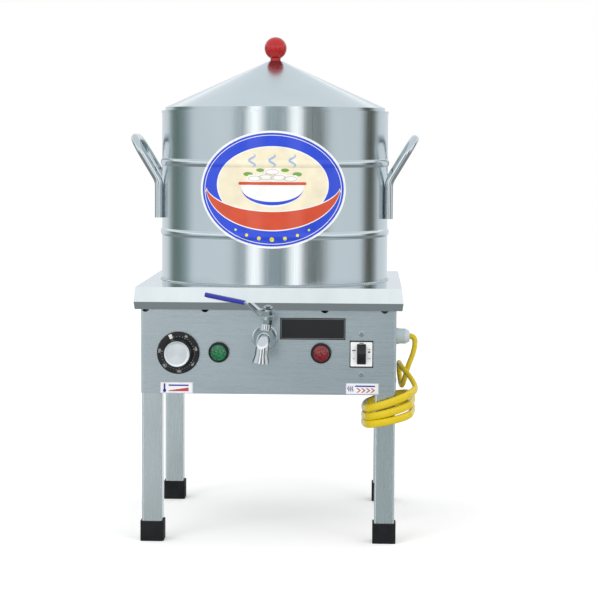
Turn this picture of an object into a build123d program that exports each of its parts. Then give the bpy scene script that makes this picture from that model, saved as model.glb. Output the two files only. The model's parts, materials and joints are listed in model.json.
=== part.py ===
"""Rice noodle roll steamer: a lidded steam pot on a drip tray, over a control box on four legs.

Millimetres, +Z up, front towards -Y. Everything is built about the pot's axis, and the last
step moves it along Y so that the origin is the centre of the base of the whole object.
"""
from build123d import *
from math import atan2, cos, degrees, hypot, pi, radians, sin, sqrt, tan
import os

# ---------------------------------------------------------------- driving dimensions
# Control box and legs
CASE = 380.0              # outside width and depth of the control box
CASE_BOTTOM = 223.5       # height of its lower edge
CASE_SHEET = 1.0          # panel thickness
CASE_BEND = 3.0           # outside radius of the vertical bends
LEG = 30.0                # square tube
LEG_WALL = 1.2
LEG_CORNER = 2.5
BOOT = 35.0               # rubber boot, outside
BOOT_HEIGHT = 30.0
BOOT_FLOOR = 4.0          # rubber under the tube's end
BOOT_CORNER = 3.5
COVER_FLANGE = 14.0       # upturned edges of the bottom cover
COVER_GAP = 0.2           # between the cover and what is round it

# Drip tray
TRAY = 400.0              # across its widest line
TRAY_TOP = 383.0
TRAY_SHEET = 1.0
FASCIA_UPPER = 22.0       # height of the band that flares out
FASCIA_LOWER = 11.0       # height of the band that tucks in
FASCIA_FLARE = 2.4
FASCIA_TUCK = 1.5
TRAY_LIP = 7.5            # return under the fascia
TRAY_HOLE = 290.0         # opening under the pot, for the fittings

# Pot
POT_R = 177.0
POT_WALL = 1.0
POT_TOP = 646.0
POT_FLOOR = 1.5           # thickness of the bottom disc
BEAD_LOW = 458.0          # heights of the two rolled beads
BEAD_HIGH = 566.0
BEAD_HEIGHT = 11.5
BEAD_PROUD = 2.3
RIM_HEIGHT = 3.5
RIM_PROUD = 0.8
WELD_GAP = 0.1            # between welded neighbours

# Pot handles
HANDLE_TUBE = 13.0
HANDLE_SPREAD = 86.0      # between the two legs of a handle
HANDLE_FOOT = 480.0       # height of the lower ends
HANDLE_KNEE = 537.0       # where the handle leaves the wall
HANDLE_TOP = 610.0
HANDLE_REACH = 225.0      # from the pot's axis to the outside of the grip
HANDLE_KNEE_R = 30.0
HANDLE_LOOP_R = 28.0

# Steaming hoop, inside the pot's mouth
LUG_TOP = 612.0
LUG_THICK = 3.0
LUG_WIDTH = 14.0
LUG_REACH = 10.0
LUG_COUNT = 4
HOOP_SLACK = 1.4          # between the outer ring and the pot
HOOP_RING = 2.5           # thickness of each ring
HOOP_HEIGHT = 20.0        # inner ring
HOOP_OUTER_HEIGHT = 14.0
CLOTH_THICK = 0.6
CLOTH_HEM = 0.5           # from the cloth's edge to the outer ring's outside
SEAT_GAP = 0.3            # between a lifting piece and its seat

# Lid
LID_IN = 5.0              # from the pot's outside in to the lid's skirt
LID_SHEET = 0.8
LID_SHOULDER = 651.0      # where the cone starts
LID_FLAT_R = 10.0         # flat at the cone's top
LID_FLAT = 724.5
KNOB_R = 17.4
KNOB_CENTRE = 744.0
KNOB_NECK_R = 8.0
KNOB_SCREW_R = 3.0
KNOB_SCREW_DEPTH = 14.0   # thread inside the ball
KNOB_SCREW_HEAD_R = 6.0
KNOB_SCREW_HEAD = 4.0

# Badge on the pot's front
BADGE_X = 4.0
BADGE_Z = 527.5
BADGE_WIDTH = 218.0
BADGE_HEIGHT = 175.0
BADGE_THICK = 0.4
FILM_GAP = 0.05           # glue under a film

# Front panel
VENT_COUNT = 5
VENT_PITCH = 89.0
VENT_R = 6.0
VENT_Z = 351.4
VENT_SHIFT = -5.5         # the row stands a little left of the middle
DIAL_IN, DIAL_Z = 55.7, 284.8             # in from the box's left side; height
DIAL_SKIRT_R = 31.5
DIAL_SKIRT = 3.5
DIAL_GRIP_R = 22.5
DIAL_GRIP_TIP_R = 20.5
DIAL_GRIP = 17.0
DIAL_GAP = 2.6            # between the panel and the dial's skirt
CAP_R = 19.0
CAP_THICK = 1.0
CAP_SUNK = 0.5
FLUTES = 24
FLUTE_R = 1.4
SHAFT_R = 3.0
SHAFT_HOLE_R = 5.0        # in the panel
THERMOSTAT = 42.0         # body, square
THERMOSTAT_DEPTH = 28.0
THERMOSTAT_SCREW_PITCH = 28.0
LAMP_Z = 286.2
LAMP_GREEN_X = -73.7
LAMP_RED_X = 78.4
LAMP_BEZEL_R = 15.2
LAMP_BEZEL = 8.0
LAMP_HOLE_R = 11.0
LAMP_BARREL = 34.0
LAMP_LENS_R = 11.8
LAMP_LENS_EDGE = 3.0      # straight part of the lens in front of the bezel
LAMP_LENS_DOME = 4.0
LAMP_NUT_AF = 29.0
LAMP_NUT = 5.0
BREAKER_IN, BREAKER_Z = 51.6, 284.7       # in from the box's right side; height
BREAKER_HOLE_W, BREAKER_HOLE_H = 35.0, 40.5
BREAKER_FACE_W, BREAKER_FACE_H = 32.5, 36.5
BREAKER_PROUD = 0.6       # of the face, in front of the panel
BREAKER_BODY_H = 74.0
BREAKER_DEPTH = 42.0
BREAKER_SCREW_PITCH = 60.5
TOGGLE_W, TOGGLE_H = 12.5, 29.5
TOGGLE_PIVOT = 10.0       # depth of the pivot behind the face
TOGGLE_BUMP = 3.0
TOGGLE_THROW = 24.0       # degrees
TOGGLE_PIN_R = 1.5
TOGGLE_SIDE = 0.4         # clearance at the sides of the toggle
PLATE_X, PLATE_Z = 65.9, 322.0
PLATE_W, PLATE_H, PLATE_THICK = 97.1, 32.3, 0.8
LABEL_LEFT, LABEL_RIGHT = (-2.5, 232.2), (1.6, 233.0)    # across from dial and breaker; height
LABEL_W, LABEL_H, LABEL_THICK = 48.5, 16.4, 0.3

# Screws
SCREW_R = 2.0
SCREW_HEAD_R = 3.8
SCREW_HEAD = 2.0
SCREW_LENGTH = 5.0
RUN_FIT = 0.05            # radial clearance of running fits
LOOSE_FIT = 0.1           # radial clearance of fixed pieces in their holes

# Drain tap, built straight about its ball's centre and then leaned and moved into place
TAP_X, TAP_Z = -5.0, 309.0
TAP_LEAN = 6.0            # degrees, the tap is screwed home a little off upright
PIPE_R = 10.65            # half-inch pipe
PIPE_WALL = 2.0
PIPE_DROP_Y = -108.0      # where the pipe leaves the pot's floor
PIPE_BEND_R = 32.0
FLANGE_R = 19.0
FLANGE_THICK = 4.0
TAP_REAR = 19.0           # from the ball's centre to the wall flange
TAP_SOCKET = 9.0          # depth of the pipe in the tap
TAP_FRONT = 15.0
TAP_HEX_AF = 27.0
TAP_HEX_REAR = 9.0
TAP_HEX_FRONT = 5.0
TAP_BELLY_R = 14.5
TAP_BORE_R = 6.5
BALL_R = 10.5
BALL_BORE_R = 6.0
SEAT_R = 8.4
SEAT_LENGTH = 3.0
BONNET_R = 8.0
BONNET_TOP = 22.0
STEM_R = 4.0
STEM_TOP = 43.0
STEM_TANG = 3.0           # thickness and depth of the key in the ball
GLAND_NUT_AF = 15.0
GLAND_NUT = 6.5
LEVER_W, LEVER_THICK = 12.0, 2.2
LEVER_Z = 33.0
LEVER_FLAT = 9.0          # from the stem to the first bend
LEVER_STEP_X, LEVER_STEP_Z = 20.0, 15.5
LEVER_LONG_X, LEVER_LONG_Z = 60.0, 5.5
LEVER_STOP = 9.0          # bent-down tab
SLEEVE_W, SLEEVE_THICK = 15.0, 6.0
SLEEVE_LAP = 3.0          # sleeve past the strap's end
LEVER_NUT_AF = 13.0
LEVER_NUT = 5.5
SPOUT_R = 10.2
SPOUT_BORE_R = 7.6
SPOUT_REACH = 16.0        # from the tap's front to the spout's axis
SPOUT_BEND_R = 13.0
SPOUT_NECK = 20.0         # where the flare starts, below the tap's axis
SPOUT_DROP = 33.0
SPOUT_MOUTH_W, SPOUT_MOUTH_D = 25.5, 20.5

# Heaters
HEATER_R = 4.0
HEATER_X = 58.0           # of each hairpin's middle
HEATER_SPAN = 44.0        # between the two legs of a hairpin
HEATER_BACK = 92.0
HEATER_FRONT = -104.0
HEATER_Z = 408.0
HEATER_BEND_R = 12.0
HEATER_TAIL = 24.0        # below the tray
FITTING_R = 8.0
FITTING_FLANGE_R = 11.0
FITTING_FLANGE = 3.0
FITTING_LENGTH = 16.0
FITTING_NUT_AF = 22.0
FITTING_NUT = 6.0

# Thermostat bulb
BULB_X, BULB_Y = -104.0, -46.0
BULB_R = 3.0
BULB_LENGTH = 60.0
BULB_BELOW = 12.0         # below the pot's floor
CAPILLARY_R = 1.2

# Terminal block on the bottom cover
BLOCK_IN, BLOCK_Y = 70.0, -60.0           # in from the box's right side
BLOCK_SIZE = (46.0, 24.0, 20.0)
BLOCK_WAYS = 3

# Cable gland and lead
GLAND_Y, GLAND_Z = -100.0, 303.5
GLAND_FLANGE_R = 12.5
GLAND_FLANGE = 5.5
GLAND_DOME_R = 11.6
GLAND_TIP_R = 8.0
GLAND_REACH = 21.5        # from the panel to the gland's mouth
GLAND_THREAD_R = 9.5
GLAND_NUT_R = 12.5
GLAND_LOCKNUT = 4.0
GLAND_TAIL = 9.0          # thread inside the box
CORD_D = 9.0
CORD_START = 12.0         # inside the gland's mouth
# The lead's hanging stretch, chosen by hand, about the pot's axis
DROP_POINTS = ((221.0, -100.0, 303.5), (218.5, -102.0, 280.0), (210.0, -106.0, 260.0),
               (204.5, -105.0, 239.0), (201.5, -88.0, 226.5), (199.0, -62.0, 228.0),
               (197.0, -52.0, 243.0), (196.0, -66.0, 258.0), (197.0, -92.0, 259.5),
               (200.0, -114.0, 257.0), (209.0, -130.0, 249.0), (217.5, -146.0, 238.0))
TAIL_POINTS = ((168.0, -40.0, 161.0), (172.5, -31.0, 144.0))
LEAD_IN = 14.0            # straight runs into and out of the turns

# Its turns round the front right leg
COIL_X, COIL_Y = 179.5, -132.0
COIL_HALF_W, COIL_HALF_L = 38.5, 72.0
COIL_END_R = 34.0
COIL_Z = 214.0            # height of the first turn where it passes the leg's front
COIL_DROP, COIL_CATCH = 15.5, 0.9      # fall per turn, and how it slows
COIL_TILT, COIL_UNTILT = 0.30, 0.05    # rise towards +X, and its loss per turn
COIL_TURNS = 2            # full turns, before the last quarter
COIL_LAST = 0.5           # radians of the last turn past its left side

# Plug
PLUG_W, PLUG_D, PLUG_LENGTH = 26.0, 15.0, 38.0
PLUG_NECK = 14.0
PLUG_X, PLUG_Y, PLUG_TOP = 174.0, -29.0, 104.0
PIN_R, PIN_LENGTH, PIN_PITCH = 2.4, 19.0, 15.0

# ---------------------------------------------------------------- derived places
HALF = CASE / 2
FRONT = -HALF                              # front panel's outer face
INSIDE = HALF - CASE_SHEET
LEG_AT = INSIDE - LEG / 2
TRAY_UNDER = TRAY_TOP - TRAY_SHEET
TRAY_BOTTOM = TRAY_TOP - FASCIA_UPPER - FASCIA_LOWER
COVER_TOP = CASE_BOTTOM + CASE_SHEET
POT_IN = POT_R - POT_WALL
LID_R = POT_R - LID_IN
DIAL_X = DIAL_IN - HALF
BREAKER_X = HALF - BREAKER_IN
BLOCK_X = HALF - BLOCK_IN
LABELS = ((DIAL_X + LABEL_LEFT[0], LABEL_LEFT[1]), (BREAKER_X + LABEL_RIGHT[0], LABEL_RIGHT[1]))
CAPILLARY_RUNS = ((DIAL_X, -132.0, DIAL_Z), (-128.0, -98.0, 297.0), (-110.0, -64.0, 318.0),
                  (BULB_X, BULB_Y, 345.0))
FLOOR_TOP = TRAY_TOP + POT_FLOOR
HOOP_OUT = POT_IN - HOOP_SLACK
HOOP_MID = HOOP_OUT - HOOP_RING            # outer ring's bore
HOOP_IN_R = HOOP_MID - CLOTH_THICK         # inner ring's outside, cloth between the rings
HOOP_BASE = LUG_TOP + SEAT_GAP
CLOTH_TOP = HOOP_BASE + HOOP_HEIGHT + CLOTH_THICK
LID_BASE = CLOTH_TOP + SEAT_GAP
BALL_Y = FRONT - FLANGE_THICK - TAP_REAR
SPOUT_FRONT = BALL_Y - TAP_FRONT - SPOUT_REACH - max(SPOUT_MOUTH_D / 2, SPOUT_R)
POT_Y = -(SPOUT_FRONT + TRAY / 2) / 2      # shift that centres the whole, front to back
TAP_PLACE = Pos(TAP_X, BALL_Y, TAP_Z) * Rot(0, TAP_LEAN, 0)

PARTS = {}


# ---------------------------------------------------------------- small helpers
def block(x, y, z, width, depth, height):
    """A box centred on x and y, standing on z."""
    return Pos(x, y, z + height / 2) * Box(width, depth, height)


def rod_x(r, x0, x1, y, z):
    return Pos((x0 + x1) / 2, y, z) * Rot(0, 90, 0) * Cylinder(r, abs(x1 - x0))


def rod_y(r, y0, y1, x, z):
    return Pos(x, (y0 + y1) / 2, z) * Rot(90, 0, 0) * Cylinder(r, abs(y1 - y0))


def rod_z(r, z0, z1, x=0.0, y=0.0):
    return Pos(x, y, (z0 + z1) / 2) * Cylinder(r, abs(z1 - z0))


def cone_x(r0, r1, x0, x1, y, z):
    return Pos((x0 + x1) / 2, y, z) * Rot(0, 90, 0) * Cone(r0, r1, abs(x1 - x0))


def hexagon(across_flats, length):
    """A hexagonal bar standing on the origin."""
    return extrude(RegularPolygon(across_flats / 2, 6, major_radius=False), length)


def hex_z(across_flats, z0, z1, x=0.0, y=0.0):
    return Pos(x, y, z0) * hexagon(across_flats, z1 - z0)


def hex_y(across_flats, y0, y1, x, z):
    """A hexagonal bar along Y from y0 back to y1."""
    return Pos(x, y1, z) * Rot(90, 0, 0) * hexagon(across_flats, y1 - y0)


def ring_z(r_out, r_in, z0, z1, x=0.0, y=0.0):
    return rod_z(r_out, z0, z1, x, y) - rod_z(r_in, z0 - 1, z1 + 1, x, y)


def solids(pieces):
    """Several pieces of one kind, kept as separate solids."""
    return Compound(children=[piece.solid() for piece in pieces])


def tube(path, r_out, r_in=0.0):
    """A round tube or rod swept along a path."""
    plane = Plane(origin=path.position_at(0), z_dir=path.tangent_at(0))
    ring = plane * Circle(r_out)
    swept = sweep(ring, path=path)
    if r_in:
        swept = swept - sweep(plane * Circle(r_in), path=path)
    return swept


def save(name, shape):
    PARTS[name] = shape


# ---------------------------------------------------------------- stand
def legs():
    section = RectangleRounded(LEG, LEG, LEG_CORNER)
    bore = LEG - 2 * LEG_WALL
    section -= RectangleRounded(bore, bore, max(LEG_CORNER - LEG_WALL, 0.3))
    leg = extrude(section, TRAY_UNDER - BOOT_FLOOR)
    hole = LEG_AT + LEG / 2
    for side, x in (("left", -LEG_AT), ("right", LEG_AT)):
        front = Pos(x, -LEG_AT, BOOT_FLOOR) * leg
        for i in range(VENT_COUNT):            # the outer vents are drilled through into the legs
            front -= rod_y(VENT_R, FRONT, LEG_WALL + 1 - hole, vent_x(i), VENT_Z)
        save(f"leg_front_{side}", front)
        back = Pos(x, LEG_AT, BOOT_FLOOR) * leg
        for z in back_screw_heights():
            back -= rod_y(SCREW_R + LOOSE_FIT, hole - LEG_WALL - 1, hole + 1, x, z)
        save(f"leg_back_{side}", back)


def boots():
    made = []
    for x in (-LEG_AT, LEG_AT):
        for y in (-LEG_AT, LEG_AT):
            boot = extrude(RectangleRounded(BOOT, BOOT, BOOT_CORNER), BOOT_HEIGHT)
            socket = extrude(RectangleRounded(LEG, LEG, LEG_CORNER), BOOT_HEIGHT)
            made.append(Pos(x, y, 0) * (boot - Pos(0, 0, BOOT_FLOOR) * socket))
    save("feet", solids(made))


def flared(inset, top):
    """The tray's outside, or its inside when inset by the sheet."""
    wide = TRAY - 2 * inset
    crown = wide - 2 * FASCIA_FLARE
    foot = wide - 2 * FASCIA_TUCK
    bend = TRAY_BOTTOM + FASCIA_LOWER
    upper = loft([Pos(0, 0, bend) * Rectangle(wide, wide), Pos(0, 0, top) * Rectangle(crown, crown)])
    lower = loft([Pos(0, 0, TRAY_BOTTOM) * Rectangle(foot, foot),
                  Pos(0, 0, bend) * Rectangle(wide, wide)])
    return upper + lower


def tray():
    shell = flared(0, TRAY_TOP) - flared(TRAY_SHEET, TRAY_UNDER)
    foot = TRAY - 2 * FASCIA_TUCK - TRAY_SHEET
    lip = block(0, 0, TRAY_BOTTOM, foot, foot, TRAY_SHEET)
    window = foot + TRAY_SHEET - 2 * TRAY_LIP
    lip -= block(0, 0, TRAY_BOTTOM - 1, window, window, TRAY_SHEET + 2)
    save("tray", shell + lip - rod_z(TRAY_HOLE / 2, TRAY_UNDER - 1, TRAY_TOP + 1))


def back_screw_heights():
    return (CASE_BOTTOM + 25.0, TRAY_BOTTOM - 25.0)


def side_screw_places():
    return (-LEG_AT / 3, LEG_AT / 3)


def casing():
    height = TRAY_UNDER - CASE_BOTTOM
    outside = extrude(RectangleRounded(CASE, CASE, CASE_BEND), height)
    bore = CASE - 2 * CASE_SHEET
    inside = extrude(RectangleRounded(bore, bore, CASE_BEND - CASE_SHEET), height)
    wrap = Pos(0, 0, CASE_BOTTOM) * (outside - inside)
    wrap -= block(0, INSIDE + CASE / 2, CASE_BOTTOM - 1, CASE + 2, CASE, height + 2)
    wrap -= front_cuts()
    wrap -= rod_x(GLAND_THREAD_R + LOOSE_FIT, INSIDE - 1, HALF + 1, GLAND_Y, GLAND_Z)
    for y in side_screw_places():
        wrap -= rod_x(SCREW_R + LOOSE_FIT, -HALF - 1, HALF + 1, y, CASE_BOTTOM + COVER_FLANGE / 2)
    save("casing", wrap)
    # The back panel closes the U between the side sheets' ends
    back = block(0, INSIDE + CASE_SHEET / 2, CASE_BOTTOM, CASE - 2 * CASE_SHEET, CASE_SHEET, height)
    for x in (-LEG_AT, LEG_AT):
        for z in back_screw_heights():
            back -= rod_y(SCREW_R + LOOSE_FIT, INSIDE - 1, HALF + 1, x, z)
    for i in range(VENT_COUNT):
        back -= rod_y(VENT_R, INSIDE - 1, HALF + 1, vent_x(i), TRAY_BOTTOM - 3 * VENT_R)
    save("back_panel", back)


def vent_x(index):
    return VENT_SHIFT + VENT_PITCH * (index - (VENT_COUNT - 1) / 2)


def front_cuts():
    """Everything that is cut through the front sheet."""
    near, far = FRONT - 1, FRONT + CASE_SHEET + 1
    cuts = [rod_y(VENT_R, near, far, vent_x(i), VENT_Z) for i in range(VENT_COUNT)]
    cuts.append(rod_y(SHAFT_HOLE_R, near, far, DIAL_X, DIAL_Z))
    for side in (-1, 1):
        x = DIAL_X + side * THERMOSTAT_SCREW_PITCH / 2
        cuts.append(rod_y(SCREW_R + LOOSE_FIT, near, far, x, DIAL_Z))
        z = BREAKER_Z + side * BREAKER_SCREW_PITCH / 2
        cuts.append(rod_y(SCREW_R + LOOSE_FIT, near, far, BREAKER_X, z))
    for x in (LAMP_GREEN_X, LAMP_RED_X):
        cuts.append(rod_y(LAMP_HOLE_R + LOOSE_FIT, near, far, x, LAMP_Z))
    cuts.append(rod_y(PIPE_R + LOOSE_FIT, near, far, TAP_X, TAP_Z))
    window = block(BREAKER_X, FRONT, BREAKER_Z - BREAKER_HOLE_H / 2, BREAKER_HOLE_W, 4, BREAKER_HOLE_H)
    return cuts + [window]


def bottom_cover():
    wide = 2 * (INSIDE - COVER_GAP)
    cover = block(0, 0, CASE_BOTTOM, wide, wide, CASE_SHEET)
    for side in (-1, 1):
        x = side * (wide - CASE_SHEET) / 2
        flange = block(x, 0, CASE_BOTTOM, CASE_SHEET, wide, COVER_FLANGE)
        for y in side_screw_places():
            flange -= rod_x(SCREW_R + LOOSE_FIT, x - 2, x + 2, y, CASE_BOTTOM + COVER_FLANGE / 2)
        cover += flange
    corner = LEG + 2 * COVER_GAP
    for x in (-LEG_AT, LEG_AT):
        for y in (-LEG_AT, LEG_AT):
            cover -= block(x, y, CASE_BOTTOM - 1, corner, corner, COVER_FLANGE + 2)
    save("bottom_cover", cover)


def panel_screw(place):
    """A pan-head screw whose head stands on the origin, with its thread along -Z."""
    head = fillet(rod_z(SCREW_HEAD_R, 0, SCREW_HEAD).edges().group_by(Axis.Z)[-1], SCREW_HEAD * 0.45)
    return place * (head + rod_z(SCREW_R, -SCREW_LENGTH, 0))


def panel_screws():
    """All the pan-head screws: back panel, bottom cover, thermostat and breaker."""
    made = []
    for x in (-LEG_AT, LEG_AT):
        for z in back_screw_heights():
            made.append(panel_screw(Pos(x, HALF, z) * Rot(-90, 0, 0)))
    for y in side_screw_places():
        z = CASE_BOTTOM + COVER_FLANGE / 2
        made.append(panel_screw(Pos(-HALF, y, z) * Rot(0, -90, 0)))
        made.append(panel_screw(Pos(HALF, y, z) * Rot(0, 90, 0)))
    for side in (-1, 1):
        x = DIAL_X + side * THERMOSTAT_SCREW_PITCH / 2
        made.append(panel_screw(Pos(x, FRONT, DIAL_Z) * Rot(90, 0, 0)))
        z = BREAKER_Z + side * BREAKER_SCREW_PITCH / 2
        made.append(panel_screw(Pos(BREAKER_X, FRONT, z) * Rot(90, 0, 0)))
    save("panel_screws", solids(made))


# ---------------------------------------------------------------- pot
def wall_line(r, z_low, z_high):
    """Edges of the pot's side at radius r, from z_low up to z_high, over the two beads."""
    edges, z = [], z_low
    for bead in (BEAD_LOW, BEAD_HIGH):
        low, high = bead - BEAD_HEIGHT / 2, bead + BEAD_HEIGHT / 2
        edges.append(Line((r, 0, z), (r, 0, low)))
        edges.append(ThreePointArc((r, 0, low), (r + BEAD_PROUD, 0, bead), (r, 0, high)))
        z = high
    edges.append(Line((r, 0, z), (r, 0, z_high)))
    return edges


def pot_wall():
    rim_low, rim_r = POT_TOP - RIM_HEIGHT, POT_R + RIM_PROUD
    outline = wall_line(POT_R, TRAY_TOP, rim_low)
    outline += [Line((POT_R, 0, rim_low), (rim_r, 0, rim_low)), Line((rim_r, 0, rim_low), (rim_r, 0, POT_TOP)),
                Line((rim_r, 0, POT_TOP), (POT_IN, 0, POT_TOP))]
    outline += wall_line(POT_IN, TRAY_TOP, POT_TOP)
    outline.append(Line((POT_IN, 0, TRAY_TOP), (POT_R, 0, TRAY_TOP)))
    save("pot_wall", revolve(make_face(outline), Axis.Z))


def heater_places():
    return [(side * HEATER_X + end * HEATER_SPAN / 2, HEATER_BACK) for side in (-1, 1) for end in (-1, 1)]


def pot_bottom():
    disc = rod_z(POT_IN - WELD_GAP, TRAY_TOP, FLOOR_TOP)
    for x, y in heater_places():
        disc -= rod_z(FITTING_R + LOOSE_FIT, TRAY_TOP - 1, FLOOR_TOP + 1, x, y)
    disc -= rod_z(FITTING_R + LOOSE_FIT, TRAY_TOP - 1, FLOOR_TOP + 1, BULB_X, BULB_Y)
    disc -= rod_z(PIPE_R + LOOSE_FIT, TRAY_TOP - 1, FLOOR_TOP + 1, TAP_X, PIPE_DROP_Y)
    save("pot_bottom", disc)


def handle(side):
    """A tube bent into a loop: up the wall, out at the knees and across at the top."""
    stand = POT_R + HANDLE_TUBE / 2 + WELD_GAP
    x_low = sqrt(stand ** 2 - (HANDLE_SPREAD / 2) ** 2)
    x_top = HANDLE_REACH - HANDLE_TUBE / 2
    z_top = HANDLE_TOP - HANDLE_TUBE / 2
    y = HANDLE_SPREAD / 2
    points = [(x_low, -y, HANDLE_FOOT), (x_low, -y, HANDLE_KNEE), (x_top, -y, z_top),
              (x_top, y, z_top), (x_low, y, HANDLE_KNEE), (x_low, y, HANDLE_FOOT)]
    radii = (HANDLE_KNEE_R, HANDLE_LOOP_R, HANDLE_LOOP_R, HANDLE_KNEE_R)
    loop = tube(FilletPolyline(*points, radius=radii), HANDLE_TUBE / 2)
    return loop if side > 0 else Rot(0, 0, 180) * loop


def lugs():
    made = []
    for i in range(LUG_COUNT):
        ring = ring_z(POT_IN - WELD_GAP, POT_IN - LUG_REACH, LUG_TOP - LUG_THICK, LUG_TOP)
        sector = block(POT_IN, 0, LUG_TOP - LUG_THICK - 1, 4 * LUG_REACH, LUG_WIDTH, LUG_THICK + 2)
        made.append(Rot(0, 0, 45 + 360 / LUG_COUNT * i) * (ring & sector))
    save("hoop_lugs", solids(made))


def badge():
    """A film that follows the wall and its beads, cut to an oval."""
    low, high = BADGE_Z - BADGE_HEIGHT, BADGE_Z + BADGE_HEIGHT
    inner, outer = POT_R + FILM_GAP, POT_R + FILM_GAP + BADGE_THICK
    outline = wall_line(inner, low, high) + wall_line(outer, low, high)
    outline += [Line((inner, 0, z), (outer, 0, z)) for z in (low, high)]
    film = revolve(make_face(outline), Axis.Z)
    oval = extrude(Ellipse(BADGE_WIDTH / 2, BADGE_HEIGHT / 2), POT_R + 2 * BADGE_THICK + BEAD_PROUD)
    save("badge", film & (Pos(BADGE_X, 0, BADGE_Z) * Rot(90, 0, 0) * oval))


def heaters():
    low = TRAY_TOP - HEATER_TAIL
    for name, middle in (("heater_boost", -HEATER_X), ("heater_regulated", HEATER_X)):
        left, right = middle - HEATER_SPAN / 2, middle + HEATER_SPAN / 2
        points = [(left, HEATER_BACK, low), (left, HEATER_BACK, HEATER_Z), (left, HEATER_FRONT, HEATER_Z),
                  (right, HEATER_FRONT, HEATER_Z), (right, HEATER_BACK, HEATER_Z), (right, HEATER_BACK, low)]
        save(name, tube(FilletPolyline(*points, radius=HEATER_BEND_R), HEATER_R))


def fitting(x, y, bore):
    """A flanged brass bush that stands in the pot's floor."""
    base = FLOOR_TOP - FITTING_LENGTH
    bush = rod_z(FITTING_R, base, FLOOR_TOP, x, y)
    bush += rod_z(FITTING_FLANGE_R, FLOOR_TOP, FLOOR_TOP + FITTING_FLANGE, x, y)
    return bush - rod_z(bore + LOOSE_FIT, base - 1, FLOOR_TOP + FITTING_FLANGE + 1, x, y)


def fitting_nut(x, y):
    nut = hex_z(FITTING_NUT_AF, TRAY_TOP - FITTING_NUT, TRAY_TOP, x, y)
    return nut - rod_z(FITTING_R + LOOSE_FIT, TRAY_TOP - FITTING_NUT - 1, TRAY_TOP + 1, x, y)


def fittings():
    made = [fitting(x, y, HEATER_R) for x, y in heater_places()] + [fitting(BULB_X, BULB_Y, BULB_R)]
    save("floor_fittings", solids(made))
    places = heater_places() + [(BULB_X, BULB_Y)]
    save("fitting_nuts", solids([fitting_nut(x, y) for x, y in places]))


# ---------------------------------------------------------------- steaming hoop and lid
def steaming_hoop():
    top = HOOP_BASE + HOOP_HEIGHT
    save("hoop_inner", ring_z(HOOP_IN_R, HOOP_IN_R - HOOP_RING, HOOP_BASE, top))
    save("hoop_cloth", rod_z(HOOP_OUT - CLOTH_HEM, top, CLOTH_TOP))
    save("hoop_outer", ring_z(HOOP_OUT, HOOP_MID, top - HOOP_OUTER_HEIGHT, top))


def lid():
    slope = (LID_FLAT - LID_SHOULDER) / (LID_R - LID_FLAT_R)
    drop = LID_SHEET * sqrt(1 + slope ** 2)        # sheet thickness, measured straight down
    inner = LID_R - LID_SHEET
    under_flat = LID_FLAT - LID_SHEET
    flat_in = inner - (under_flat - (LID_SHOULDER - drop + slope * LID_SHEET)) / slope
    outline = Polyline((LID_R, 0, LID_BASE), (LID_R, 0, LID_SHOULDER), (LID_FLAT_R, 0, LID_FLAT),
                       (0, 0, LID_FLAT), (0, 0, under_flat), (flat_in, 0, under_flat),
                       (inner, 0, LID_SHOULDER - drop + slope * LID_SHEET), (inner, 0, LID_BASE), close=True)
    shell = revolve(make_face(outline), Axis.Z)
    save("lid", shell - rod_z(KNOB_SCREW_R + LOOSE_FIT, under_flat - 1, LID_FLAT + 1))
    neck = rod_z(KNOB_NECK_R, LID_FLAT, KNOB_CENTRE)
    thread_top = LID_FLAT + KNOB_SCREW_DEPTH
    ball = neck + Pos(0, 0, KNOB_CENTRE) * Sphere(KNOB_R)
    ball &= rod_z(2 * KNOB_R, LID_FLAT, KNOB_CENTRE + KNOB_R + 1)
    save("lid_knob", ball - rod_z(KNOB_SCREW_R + LOOSE_FIT, LID_FLAT - 1, thread_top + 0.5))
    head = rod_z(KNOB_SCREW_HEAD_R, under_flat - KNOB_SCREW_HEAD, under_flat)
    save("lid_screw", head + rod_z(KNOB_SCREW_R, under_flat, thread_top))


# ---------------------------------------------------------------- controls
def thermostat():
    rear = FRONT + CASE_SHEET
    half = THERMOSTAT / 2
    body = block(DIAL_X, rear + THERMOSTAT_DEPTH / 2, DIAL_Z - half, THERMOSTAT, THERMOSTAT_DEPTH, THERMOSTAT)
    body = chamfer(body.edges().filter_by(Axis.Y), THERMOSTAT / 8)
    body -= rod_y(SHAFT_R + RUN_FIT, rear - 1, rear + THERMOSTAT_DEPTH * 0.6, DIAL_X, DIAL_Z)
    for side in (-1, 1):
        x = DIAL_X + side * THERMOSTAT_SCREW_PITCH / 2
        body -= rod_y(SCREW_R + LOOSE_FIT, rear - 1, rear + SCREW_LENGTH, x, DIAL_Z)
    save("thermostat_body", body)
    tip = FRONT - DIAL_GAP - DIAL_SKIRT - DIAL_GRIP * 0.6
    save("thermostat_shaft", rod_y(SHAFT_R, tip, rear + THERMOSTAT_DEPTH * 0.6 - 0.5, DIAL_X, DIAL_Z))
    bulb_low = FLOOR_TOP - BULB_BELOW
    bulb = rod_z(BULB_R, bulb_low, bulb_low + BULB_LENGTH, BULB_X, BULB_Y)
    save("thermostat_bulb", bulb)
    points = [(DIAL_X, rear + THERMOSTAT_DEPTH, DIAL_Z)] + list(CAPILLARY_RUNS)
    points.append((BULB_X, BULB_Y, bulb_low))
    save("capillary", tube(FilletPolyline(*points, radius=soft_radii(points)), CAPILLARY_R))


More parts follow.
